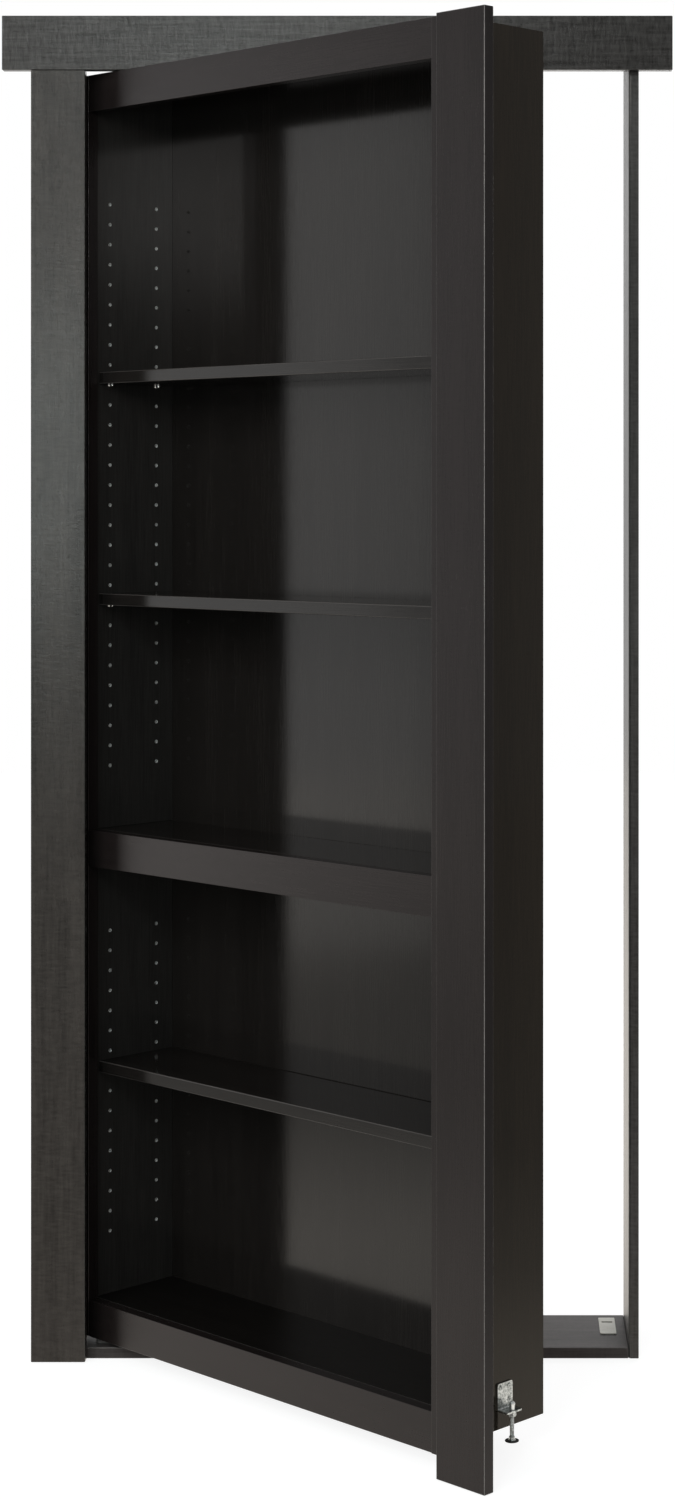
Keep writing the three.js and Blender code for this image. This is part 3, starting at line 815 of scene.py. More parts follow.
def pattern_place(sheet: Sheet, source: Source) -> bpy.types.NodeSocket:
    """Where a pattern is read on a piece.

    Args:
        sheet: The material's tree.
        source: The board's own grain, or object coordinates with the grain upright or level.

    Returns:
        A vector whose first axis runs along the grain.
    """
    if source is Source.BOARD:
        return sheet.node("ShaderNodeAttribute", {"attribute_name": "grain"}).outputs["Vector"]
    coordinates = sheet.node("ShaderNodeTexCoord").outputs["Object"]
    turn = (0.0, math.pi / 2, 0.0) if source is Source.UPRIGHT else (0.0, 0.0, 0.0)
    return sheet.node("ShaderNodeMapping", None, Vector=coordinates, Rotation=turn).outputs["Vector"]


def close_sheet(sheet: Sheet, height: object, depth: float, strength: float, **values: object) -> None:
    """Ends a material with its surface shader and bump.

    Args:
        sheet: The material's tree.
        height: The bump's height socket.
        depth: The bump's distance in metres.
        strength: The bump's strength.
        **values: Values or sockets of the surface shader.
    """
    bump = sheet.node("ShaderNodeBump", None, Height=height, Distance=depth, Strength=strength)
    shader = sheet.node("ShaderNodeBsdfPrincipled", None, Normal=bump.outputs["Normal"], **values)
    sheet.node("ShaderNodeOutputMaterial", None, Surface=shader.outputs[0])


@dataclass(frozen=True)
class Stain:
    """An espresso stained and coated board finish.

    Args:
        name: The finish's name.
        slot: The record's material slot. Not used.
        dark: Colour in the dark figure, linear.
        light: Colour in the light figure.
        worn_and_highlit: Colour of a worn arris, which also serves as a painted highlight.
        roughness: Mean roughness.
        weave: Share of the cross texture.
        wear_and_highlight: Amount of lightening on an arris, wear plus a painted highlight.
        relief: Bump strength.
        gloss: Specular level of the coat.
        tint: Colour of its shine.
        figure_share: Share of the long figure in the colour, the fibres having the rest.
        unevenness: Spread of the roughness.
        relief_depth: Depth of the bump in metres.
    """

    name: str
    slot: str
    dark: tuple[float, float, float]
    light: tuple[float, float, float]
    worn_and_highlit: tuple[float, float, float]
    roughness: float
    weave: float
    wear_and_highlight: float
    relief: float
    gloss: float = 0.3
    tint: tuple[float, float, float] = (1.0, 1.0, 1.0)
    figure_share: float = 0.45
    unevenness: float = 0.04
    relief_depth: float = 0.0004

    def material(self, effects: Effects, source: Source) -> bpy.types.Material:
        """Builds the finish.

        Args:
            effects: The shared effects.
            source: Where the grain is read.

        Returns:
            The material.
        """
        material, sheet = new_sheet(f"{self.name} {source.value}")
        place = pattern_place(sheet, source)
        grain = effects.grain.use(sheet, Place=place, Weave=self.weave)
        both = sheet.math("ADD", sheet.math("MULTIPLY", grain.outputs["Figure"], self.figure_share),
                          sheet.math("MULTIPLY", grain.outputs["Fibre"], 1.0 - self.figure_share))
        color = sheet.mix(both, (*self.dark, 1.0), (*self.light, 1.0))
        if source is Source.BOARD:
            # Arris lightening: wear plus a painted highlight along the rounded edges.
            arris = sheet.node("ShaderNodeAttribute", {"attribute_name": "wear_and_highlight"}).outputs["Fac"]
            worn_and_highlit = effects.arris.use(sheet, Arris=arris, Fibre=grain.outputs["Fibre"], Amount=self.wear_and_highlight)
            color = sheet.mix(worn_and_highlit.outputs["Mask"], color, (*self.worn_and_highlit, 1.0))
        rough = effects.handling.use(sheet, Place=place, Level=self.roughness, Spread=self.unevenness)
        close_sheet(sheet, grain.outputs["Height"], self.relief_depth, self.relief, Base_Color=color,
                    Roughness=rough.outputs["Roughness"], Specular_IOR_Level=self.gloss,
                    Specular_Tint=(*self.tint, 1.0))
        return material


@dataclass(frozen=True)
class Plating:
    """A plated or bare metal finish.

    Args:
        name: The finish's name.
        slot: The record's material slot. Not used.
        light: Colour of the bright clouds, linear.
        dark: Colour of the dull clouds.
        roughness: Mean roughness.
        metallic: Share of bare metal under the bloom of the plating.
        relief: Bump strength of the scratches.
        relief_depth: Their depth in metres.
    """

    name: str
    slot: str
    light: tuple[float, float, float]
    dark: tuple[float, float, float]
    roughness: float
    metallic: float = 1.0
    relief: float = 0.25
    relief_depth: float = 0.00005

    def material(self, effects: Effects, source: Source) -> bpy.types.Material:
        """Builds the finish.

        Args:
            effects: The shared effects.
            source: Where its pattern is read.

        Returns:
            The material.
        """
        material, sheet = new_sheet(self.name)
        metal = effects.plating.use(sheet, Place=pattern_place(sheet, source), Light=(*self.light, 1.0),
                                    Dark=(*self.dark, 1.0), Level=self.roughness)
        close_sheet(sheet, metal.outputs["Height"], self.relief_depth, self.relief,
                    Base_Color=metal.outputs["Color"], Roughness=metal.outputs["Roughness"],
                    Metallic=self.metallic)
        return material


@dataclass(frozen=True)
class Moulding:
    """A moulded plastic finish.

    Args:
        name: The finish's name.
        slot: The record's material slot. Not used.
        base: Main colour, linear.
        shade: Colour it drifts to.
        roughness: Roughness.
        relief: Bump strength of the skin.
        relief_depth: Its depth in metres.
    """

    name: str
    slot: str
    base: tuple[float, float, float]
    shade: tuple[float, float, float]
    roughness: float
    relief: float = 0.3
    relief_depth: float = 0.00005

    def material(self, effects: Effects, source: Source) -> bpy.types.Material:
        """Builds the finish.

        Args:
            effects: The shared effects.
            source: Where its pattern is read.

        Returns:
            The material.
        """
        material, sheet = new_sheet(self.name)
        skin = effects.moulded.use(sheet, Place=pattern_place(sheet, source), Base=(*self.base, 1.0),
                                   Shade=(*self.shade, 1.0))
        close_sheet(sheet, skin.outputs["Height"], self.relief_depth, self.relief,
                    Base_Color=skin.outputs["Color"], Roughness=self.roughness)
        return material


TRIM = Stain(
    name="Espresso trim", slot="stained_trim",
    dark=(0.0055, 0.0049, 0.0042), light=(0.056, 0.0495, 0.0435), worn_and_highlit=(0.08, 0.083, 0.078),
    roughness=0.28, weave=0.95, wear_and_highlight=0.4, relief=0.9, gloss=0.27, tint=(1.0, 0.93, 0.9))
HEADER = replace(
    TRIM, name="Espresso header", light=(0.055, 0.052, 0.0495), figure_share=0.12, relief_depth=0.0007)
# A lighter copy of the trim finish: painted light on the jambs' fronts.
PAINTED_LIGHT_JAMB = replace(TRIM, name="Espresso jamb painted lighter", light=(0.095, 0.0905, 0.0875), roughness=0.38, gloss=0.4)
# The sill's light arris colour is a painted highlight on its arrises.
SILL = Stain(
    name="Espresso sill with painted highlight", slot="stained_trim",
    dark=(0.028, 0.0245, 0.0235), light=(0.086, 0.0755, 0.073), worn_and_highlit=(0.26, 0.24, 0.23),
    roughness=0.46, weave=0.5, wear_and_highlight=0.8, relief=0.25, gloss=0.13, tint=(1.0, 0.92, 0.9))
FACE = Stain(
    name="Espresso face", slot="stained_face",
    dark=(0.0077, 0.006, 0.0057), light=(0.016, 0.0124, 0.0118), worn_and_highlit=(0.13, 0.112, 0.107),
    roughness=0.25, weave=0.4, wear_and_highlight=0.7, relief=0.12, gloss=0.26, tint=(1.0, 0.94, 0.94))
# The leg's bright arris colour and full amount are a painted highlight along its front-right edge.
LEG = replace(FACE, name="Espresso leg with painted highlight", worn_and_highlit=(0.31, 0.285, 0.27), wear_and_highlight=0.95)
PANEL = Stain(
    name="Espresso panel", slot="stained_panel",
    dark=(0.0075, 0.0065, 0.0059), light=(0.0155, 0.0135, 0.0122), worn_and_highlit=(0.1, 0.09, 0.084),
    roughness=0.12, weave=0.25, wear_and_highlight=0.6, relief=0.06, gloss=0.28, tint=(1.0, 0.98, 0.96))
OUTER_PANEL = replace(
    PANEL, name="Espresso outer side", dark=(0.0085, 0.0068, 0.0054), light=(0.0195, 0.0148, 0.0105),
    tint=(1.0, 0.9, 0.76))
# A lighter copy of the panel finish: painted light on the inner left side panel.
PAINTED_LIGHT_PANEL = replace(
    PANEL, name="Espresso side painted lighter", dark=(0.015, 0.0138, 0.0128), light=(0.03, 0.0275, 0.0255), gloss=0.22)
# A darker copy of the panel finish: painted shade on the case floor.
PAINTED_SHADE_BASE = replace(
    PANEL, name="Espresso base painted darker", dark=(0.0045, 0.004, 0.0036), light=(0.009, 0.0078, 0.007),
    roughness=0.3, gloss=0.12)
COATED = Plating(
    name="Coated steel", slot="zinc_steel", light=(0.11, 0.1, 0.095), dark=(0.07, 0.064, 0.061),
    roughness=0.5, metallic=0.2)
ZINC = Plating(
    name="Zinc plate", slot="zinc_steel", light=(0.72, 0.74, 0.73), dark=(0.22, 0.24, 0.23), roughness=0.34)
BRIGHT = Plating(
    name="Bright cap", slot="zinc_steel", light=(0.92, 0.93, 0.92), dark=(0.8, 0.81, 0.8), roughness=0.42)
BRONZE = Plating(
    name="Sintered bronze", slot="bronze", light=(0.42, 0.25, 0.1), dark=(0.24, 0.13, 0.05), roughness=0.42)
NICKEL = Plating(
    name="Nickel plate", slot="nickel", light=(0.85, 0.84, 0.82), dark=(0.66, 0.65, 0.63),
    roughness=0.38, metallic=0.45)
POLISHED = Plating(
    name="Polished nickel", slot="nickel", light=(0.98, 0.97, 0.95), dark=(0.92, 0.91, 0.88), roughness=0.2)
FOOT = Moulding(
    name="Black foot", slot="black_plastic", base=(0.012, 0.012, 0.012), shade=(0.02, 0.02, 0.02),
    roughness=0.45)
IVORY = Moulding(
    name="Ivory pad", slot="ivory_plastic", base=(0.8, 0.78, 0.7), shade=(0.63, 0.6, 0.51), roughness=0.5)


Finish = Stain | Plating | Moulding


class Paintbox:
    """Hands out each finish's material, built once for each pattern source."""

    def __init__(self) -> None:
        """Builds the shared effects."""
        self.effects = Effects()
        self.made: dict[tuple[str, Source], bpy.types.Material] = {}

    def get(self, finish: Finish, source: Source) -> bpy.types.Material:
        """Finds or builds a finish's material.

        Args:
            finish: The finish.
            source: Where its pattern is read.

        Returns:
            The material.
        """
        key = (finish.name, source)
        if key not in self.made:
            self.made[key] = finish.material(self.effects, source)
        return self.made[key]


class Workshop:
    """Puts surfaces into the scene, dresses them and ties them to the solids they stand for."""

    grain_step = np.array([0.731, 1.37, 0.853])

    def __init__(self) -> None:
        """Starts with an empty bench."""
        self.paint = Paintbox()
        self.count = 0

    def mesh(self, name: str, surface: Surface) -> bpy.types.Mesh:
        """Puts a surface into a mesh.

        Every board reads its own part of the grain: the surface's place in the wood plus the grain
        step times the number of pieces made before it.

        Args:
            name: The mesh's name.
            surface: The surface in the row frame.

        Returns:
            The mesh, smooth but for its sharp edges.
        """
        mesh = bpy.data.meshes.new(name)
        mesh.from_pydata(surface.points.tolist(), [], surface.faces)
        mesh.polygons.foreach_set("use_smooth", [True] * len(mesh.polygons))
        if surface.grain is not None:
            grain = (surface.grain + self.grain_step * self.count).astype(np.float32)
            mesh.attributes.new("grain", "FLOAT_VECTOR", "POINT").data.foreach_set("vector", grain.ravel())
        # The arris values go to the finish, which paints wear and a painted highlight on them.
        if surface.wear_and_highlight is not None:
            wear_and_highlight = surface.wear_and_highlight.astype(np.float32)
            mesh.attributes.new("wear_and_highlight", "FLOAT", "POINT").data.foreach_set("value", wear_and_highlight)
        mesh.update()
        if surface.normals is None:
            mesh.set_sharp_from_angle(angle=SHARP_ANGLE)
        else:
            mesh.normals_split_custom_set_from_vertices(surface.normals.tolist())
        return mesh

    def make(self, name: str, surface: Surface, finish: Finish, body: str,
             stands_for: Iterable[str] = (), source: Source = Source.LEVEL) -> None:
        """Makes one piece.

        Args:
            name: The piece's name.
            surface: Its surface in the row frame.
            finish: Its finish.
            body: The body it moves with.
            stands_for: Solids it is shown in place of.
            source: Where its pattern is read.
        """
        mesh = self.mesh(name, surface)
        mesh.materials.append(self.paint.get(finish, source))
        piece = bpy.data.objects.new(name, mesh)
        bpy.context.scene.collection.objects.link(piece)
        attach(piece, body)
        if stands_for:
            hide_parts(*stands_for)
        self.count += 1
        LOG.info("%s: %d faces on %s", name, len(surface.faces), body)

    def dress(self, node: str, finish: Finish, source: Source = Source.LEVEL) -> None:
        """Gives a solid that stays its finish.

        Args:
            node: The solid's name.
            finish: Its finish.
            source: Where its pattern is read.
        """
        solid = frame["nodes"][node]
        solid.data.materials.clear()
        solid.data.materials.append(self.paint.get(finish, source))
        LOG.info("%s: dressed", node)

    def board(self, node: str, placement: Placement, along: Axis, finish: Stain, arris: float = 0.0012,
              worn_and_highlit: Sequence[float] = (1.0, 1.0, 1.0, 1.0)) -> None:
        """Shows a solid board as an eased one with its own grain.

        Args:
            node: The solid's name.
            placement: The plan place its sides are square to.
            along: The direction of its grain.
            finish: Its finish.
            arris: Radius of its edges.
            worn_and_highlit: Wear of its four long edges.
        """
        low, high = placement.spans(node)
        surface = eased_board(low, high, along, arris, worn_and_highlit).placed(placement)
        body = frame["nodes"][node]["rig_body"]
        self.make(f"{node}_board", surface, finish, body, [node], Source.BOARD)


@dataclass
class WallFrame:
    """The fixed frame: jambs, head, threshold, trims and landing pad. Sizes are in metres.

    The opening height is that of the housings for the head, and the housing is their depth.
    """

    shop: Workshop
    trim_arris: float = 0.0016
    jamb_arris: float = 0.0012
    reveal_arris: float = 0.0045
    opening_height: float = 2.054
    housing: float = 0.005

    def build(self) -> None:
        """Makes and dresses the fixed frame."""
        self.jamb("left_jamb", 1.0)
        self.jamb("right_jamb", -1.0)
        self.shop.board("head_jamb", WALL, Axis.X, TRIM)
        self.shop.board("threshold", WALL, Axis.X, SILL)
        self.shop.board("header_trim", WALL, Axis.X, HEADER, self.trim_arris)
        self.shop.board("left_leg_trim", WALL, Axis.Z, TRIM, self.trim_arris)
        self.shop.dress("landing_pad", IVORY)

    def jamb(self, node: str, inner: float) -> None:
        """Makes a jamb whose front inner edge is well rounded.

        Args:
            node: The solid's name.
            inner: +1 where its inner side faces +X.
        """
        low, high = WALL.spans(node)
        fronts = (self.jamb_arris, self.reveal_arris) if inner > 0 else (self.reveal_arris, self.jamb_arris)
        radii = (self.jamb_arris, self.jamb_arris, *fronts)
        surface = housed_post(low, high, radii, self.opening_height, self.housing, inner)
        # The jambs take the lighter copy of the trim finish, which is painted light.
        self.shop.make(f"{node}_post", surface, PAINTED_LIGHT_JAMB, "frame", [node], Source.BOARD)


@dataclass
class Case:
    """The swinging case: panels, fixed boards, back, shelves and their supports.

    Arrises are in metres and all other sizes in millimetres. A nose's flat top lies its rise over the
    support's axis. A sleeve's rim lies between its seat and its rise over the panel. The columns of
    holes are measured from the panel's front, and the tops are the highest holes above and below the
    fixed shelf.
    """

    shop: Workshop
    shank_radius: float = 2.5
    shank_length: float = 9.7
    shank_chamfer: float = 0.5
    collar_radius: float = 3.6
    collar: float = 0.8
    nose_radius: float = 2.6
    nose_length: float = 8.0
    nose_rise: float = 0.5
    sleeve_outer: float = 2.85
    sleeve_waist: float = 2.7
    sleeve_inner: float = 2.4
    sleeve_depth: float = 9.0
    sleeve_seat: float = 0.02
    sleeve_rise: float = 0.35
    sleeve_ease: float = 0.1
    same_hole: float = 1.0
    pitch: float = 32.0
    columns: tuple[float, float] = (28.0, 123.0)
    upper_top: float = 1821.5
    upper_count: int = 29
    lower_top: float = 662.0
    lower_count: int = 16
    tight_arris: float = 0.0004
    back_arris: float = 0.0008
    shelf_arris: float = 0.0018

    def build(self) -> None:
        """Makes and dresses the case."""
        # The inner left side takes the lighter copy of the panel finish, which is painted light.
        self.shop.dress("left_side_panel", PAINTED_LIGHT_PANEL, Source.UPRIGHT)
        self.shop.dress("right_side_panel", OUTER_PANEL, Source.UPRIGHT)
        for node in ("case_top", "fixed_middle_shelf"):
            self.shop.board(node, DOOR, Axis.X, PANEL)
        # The case floor takes the darker copy of the panel finish, which is painted shade.
        self.shop.board("case_floor", DOOR, Axis.X, PAINTED_SHADE_BASE, self.tight_arris)
        self.shop.board("back_panel", DOOR, Axis.Z, PANEL, self.back_arris)
        for level in SHELVES:
            self.shop.board(f"{level}_shelf", DOOR, Axis.X, PANEL, self.shelf_arris)
        self.supports()
        self.sleeves()

    def supports(self) -> None:
        """Makes the twelve shelf supports."""
        for side, sign in (("left", 1.0), ("right", -1.0)):
            for level in SHELVES:
                for spot in ("front", "back"):
                    self.support(f"{level}_shelf_support_{side}_{spot}", sign)

    def support_profile(self) -> np.ndarray:
        """Draws a support along its axis: shank, collar and half-ball nose.

        Returns:
            An n x 2 array of (radius, distance from the panel's face), in metres.
        """
        shank, collar, nose = self.shank_radius * MM, self.collar_radius * MM, self.nose_radius * MM
        deep, thick, cut = -self.shank_length * MM, self.collar * MM, self.shank_chamfer * MM
        tip = thick + self.nose_length * MM
        stem = [(0.0, deep), (shank - cut, deep), (shank, deep + cut), (shank, 0.0), (collar, 0.0),
                (collar, thick), (nose, thick)]
        turn = np.linspace(0.0, math.pi / 2, 7)[:-1]
        ball = np.stack([nose * np.cos(turn), tip - nose + nose * np.sin(turn)], 1)
        return np.concatenate([stem, ball, [(0.0, tip)]])

    def support(self, node: str, sign: float) -> None:
        """Turns one support in the place of its solid: a shank, a collar and a round nose with a flat top.

        The heights of the nose are held at the shelf's underside.

        Args:
            node: The solid's name.
            sign: +1 where the nose points along local +X.
        """
        low, high = DOOR.spans(node)
        peg = turned(self.support_profile(), False, sides=24).turned_by(aimed((sign, 0.0, 0.0)))
        nosed = sign * peg.points[:, 0] > self.collar * MM
        peg.points[nosed, 2] = np.minimum(peg.points[nosed, 2], self.nose_rise * MM)
        peg.normals = None
        length = self.shank_length * MM
        face = low[0] + length if sign > 0 else high[0] - length
        place = np.array([[face, (low[1] + high[1]) / 2, low[2] + self.collar_radius * MM]])
        self.shop.make(f"{node}_spoon", peg.repeated(place).placed(DOOR), POLISHED, "case", [node])

    def hole_heights(self) -> np.ndarray:
        """Lists the peg holes of a column.

        Returns:
            Their heights in millimetres.
        """
        upper = self.upper_top - self.pitch * np.arange(self.upper_count)
        lower = self.lower_top - self.pitch * np.arange(self.lower_count)
        return np.concatenate([upper, lower])

    def sleeve(self) -> Surface:
        """Turns one sleeve: a thin tube with a low rim on the panel's face.

        Returns:
            The sleeve along +Z, its rim at height zero.
        """
        bore, waist, rim = self.sleeve_inner * MM, self.sleeve_waist * MM, self.sleeve_outer * MM
        deep, seat, top = -self.sleeve_depth * MM, self.sleeve_seat * MM, self.sleeve_rise * MM
        profile = [(bore, deep), (waist, deep), (waist, seat), (rim, seat), (rim, top), (bore, top)]
        return turned(filleted(profile, self.sleeve_ease * MM, True, steps=1), True, sides=16)

    def sleeves(self) -> None:
        """Lines every free peg hole with a thin bright sleeve."""
        pegs = [DOOR.spans(f"{level}_shelf_support_left_front")[0][2] for level in SHELVES]
        used = np.array(pegs) / MM + self.collar_radius
        heights = self.hole_heights()
        free = heights[np.abs(heights[:, None] - used[None]).min(1) > self.same_hole]
        column, height = (grid.ravel() * MM for grid in np.meshgrid(self.columns, free, indexing="ij"))
        front = DOOR.spans("left_side_panel")[0][1]
        for side, sign in (("left", 1.0), ("right", -1.0)):
            low, high = DOOR.spans(f"{side}_side_panel")
            face = np.full_like(column, high[0] if sign > 0 else low[0])
            places = np.stack([face, front + column, height], 1)
            sleeves = self.sleeve().turned_by(aimed((sign, 0.0, 0.0))).repeated(places)
            self.shop.make(f"{side}_hole_sleeves", sleeves.placed(DOOR), NICKEL, "case")


@dataclass
class FaceFrame:
    """The case's front: rails, stiles and the leg trim it carries. Arrises are in metres."""

    shop: Workshop
    rail_arris: float = 0.0007
    # Rails' and stiles' arris lightening: wear plus a faint painted highlight.
    rail_wear_and_highlight: tuple[float, float, float, float] = (0.12, 0.12, 0.12, 0.12)
    stile_arris: float = 0.0012
    leg_arris: float = 0.001
    # The fourth edge, the leg's front-right arris, carries a painted highlight.
    leg_wear_and_highlight: tuple[float, float, float, float] = (0.25, 0.2, 0.25, 1.0)

    def build(self) -> None:
        """Makes the rails, stiles and leg."""
        for node in ("top_rail", "middle_rail", "bottom_rail"):
            self.shop.board(node, DOOR, Axis.X, FACE, self.rail_arris, self.rail_wear_and_highlight)
        for node in ("left_stile", "right_stile"):
            self.shop.board(node, DOOR, Axis.Z, FACE, self.stile_arris, self.rail_wear_and_highlight)
        self.shop.board("right_leg_trim", DOOR, Axis.Z, LEG, self.leg_arris, self.leg_wear_and_highlight)


@dataclass
class PivotSets:
    """The pins, bushes, washer and plates of the pivot axis. Sizes are in millimetres.

    The heights of a pin's flange and shoulder count from the spigot's end. A screw's head lies its set
    below the plate's face, and its middle the edge distance in from the plate's sides.
    """

    shop: Workshop
    shaft_radius: float = 5.0
    spigot: float = 4.0
    flange_radius: float = 13.0
    flange_top: float = 7.0
    shoulder_radius: float = 8.0
    standing_shoulder: float = 17.6
    hanging_shoulder: float = 10.0
    chamfer: float = 1.0
    pin_ease: float = 0.4
    bore_radius: float = 5.3
    bush_radius: float = 6.8
    bush_flange_radius: float = 8.3
    bush_flange: float = 2.5
    washer_radius: float = 8.0
    washer_height: float = 2.5
    bush_ease: float = 0.3
    screw_head: float = 4.7
    screw_shank: float = 2.1
    screw_length: float = 11.0
    head_screw_length: float = 15.0
    countersink: float = 3.2
    screw_set: float = 0.1
    screw_edge: float = 10.0

    def build(self) -> None:
        """Makes the turned pieces and screws, and dresses the plates."""
        self.pin("bottom_pivot_pin", False)
        self.pin("top_pivot_pin", True)
        self.bush("bottom_bush", False)
        self.bush("top_bush", True)
        self.washer()
        for node, body, up in (("bottom_frame_plate", "frame", 1), ("bottom_door_plate", "case", -1),
                               ("top_door_plate", "case", 1), ("top_frame_plate", "frame", -1)):
            finish = COATED if node == "bottom_frame_plate" else ZINC
            self.shop.dress(node, finish)
            self.screws(node, body, up, finish)

    def stood(self, profile: Sequence[tuple[float, float]], ease: float, closed: bool,
              hanging: bool) -> Surface:
        """Turns a profile and stands or hangs it.

        Args:
            profile: Its (radius, height) corners.
            ease: Rounding of the corners.
            closed: Whether it has a bore.
            hanging: Whether it is turned upside down.

        Returns:
            The piece with its foot at the origin, in metres.
        """
        surface = turned(filleted(np.array(profile) * MM, ease * MM, closed), closed, sides=48)
        return surface.turned_by(UPSIDE_DOWN) if hanging else surface

    def pin(self, node: str, hanging: bool) -> None:
        """Turns a pivot pin: spigot, flange, shoulder and chamfered shaft.

        Args:
            node: The solid's name.
            hanging: Whether the flange is at the top.
        """
        low, high = WALL.spans(node)
        middle = (low + high) / 2
        end = (high[2] - low[2]) / MM
        shaft, shoulder = self.shaft_radius, self.hanging_shoulder if hanging else self.standing_shoulder
        profile = [(0, 0), (shaft, 0), (shaft, self.spigot), (self.flange_radius, self.spigot),
                   (self.flange_radius, self.flange_top), (self.shoulder_radius, self.flange_top),
                   (self.shoulder_radius, shoulder), (shaft, shoulder), (shaft, end - self.chamfer),
                   (shaft - self.chamfer, end), (0, end)]
        place = np.array([[middle[0], middle[1], high[2] if hanging else low[2]]])
        surface = self.stood(profile, self.pin_ease, False, hanging).repeated(place)
        self.shop.make(f"{node}_turned", surface, ZINC if hanging else COATED, "frame", [node])

    def bush(self, node: str, hanging: bool) -> None:
        """Turns a flanged bush.

        Args:
            node: The solid's name.
            hanging: Whether the flange is at the top.
        """
        low, high = DOOR.spans(node)
        end = (high[2] - low[2]) / MM
        bore, wall = self.bore_radius, self.bush_radius
        flange, thick = self.bush_flange_radius, self.bush_flange
        profile = [(bore, 0), (flange, 0), (flange, thick), (wall, thick), (wall, end), (bore, end)]
        place = np.array([[0.0, 0.0, high[2] if hanging else low[2]]])
        surface = self.stood(profile, self.bush_ease, True, hanging).repeated(place).placed(DOOR)
        self.shop.make(f"{node}_turned", surface, BRONZE, "case", [node])

    def washer(self) -> None:
        """Turns the thrust washer under the bottom bush."""
        bore, rim, thick = self.bore_radius, self.washer_radius, self.washer_height
        place = np.array([[0.0, 0.0, DOOR.spans("thrust_washer")[0][2]]])
        ring = self.stood([(bore, 0), (rim, 0), (rim, thick), (bore, thick)], self.bush_ease, True, False)
        self.shop.make("thrust_washer_turned", ring.repeated(place).placed(DOOR), BRONZE, "case",
                       ["thrust_washer"])

    def screws(self, node: str, body: str, up: int, finish: Plating) -> None:
        """Drives a countersunk screw into each corner hole of a plate.

        Args:
            node: The plate's name.
            body: Its body.
            up: +1 where the heads face up, -1 where they face down.
            finish: Their finish.
        """
        placement = DOOR if body == "case" else WALL
        low, high = placement.spans(node)
        inset, sunk = self.screw_edge * MM, self.screw_set * MM
        face = high[2] - sunk if up > 0 else low[2] + sunk
        places = np.array([[x, y, face] for x in (low[0] + inset, high[0] - inset)
                           for y in (low[1] + inset, high[1] - inset)])
        length = self.head_screw_length if node == "top_frame_plate" else self.screw_length
        screw = CrossScrew(self.screw_head * MM, self.screw_shank * MM, length * MM,
                           self.countersink * MM).surface()
        if up < 0:
            screw = screw.turned_by(UPSIDE_DOWN)
        self.shop.make(f"{node}_screws", screw.repeated(places).placed(placement), finish, body)


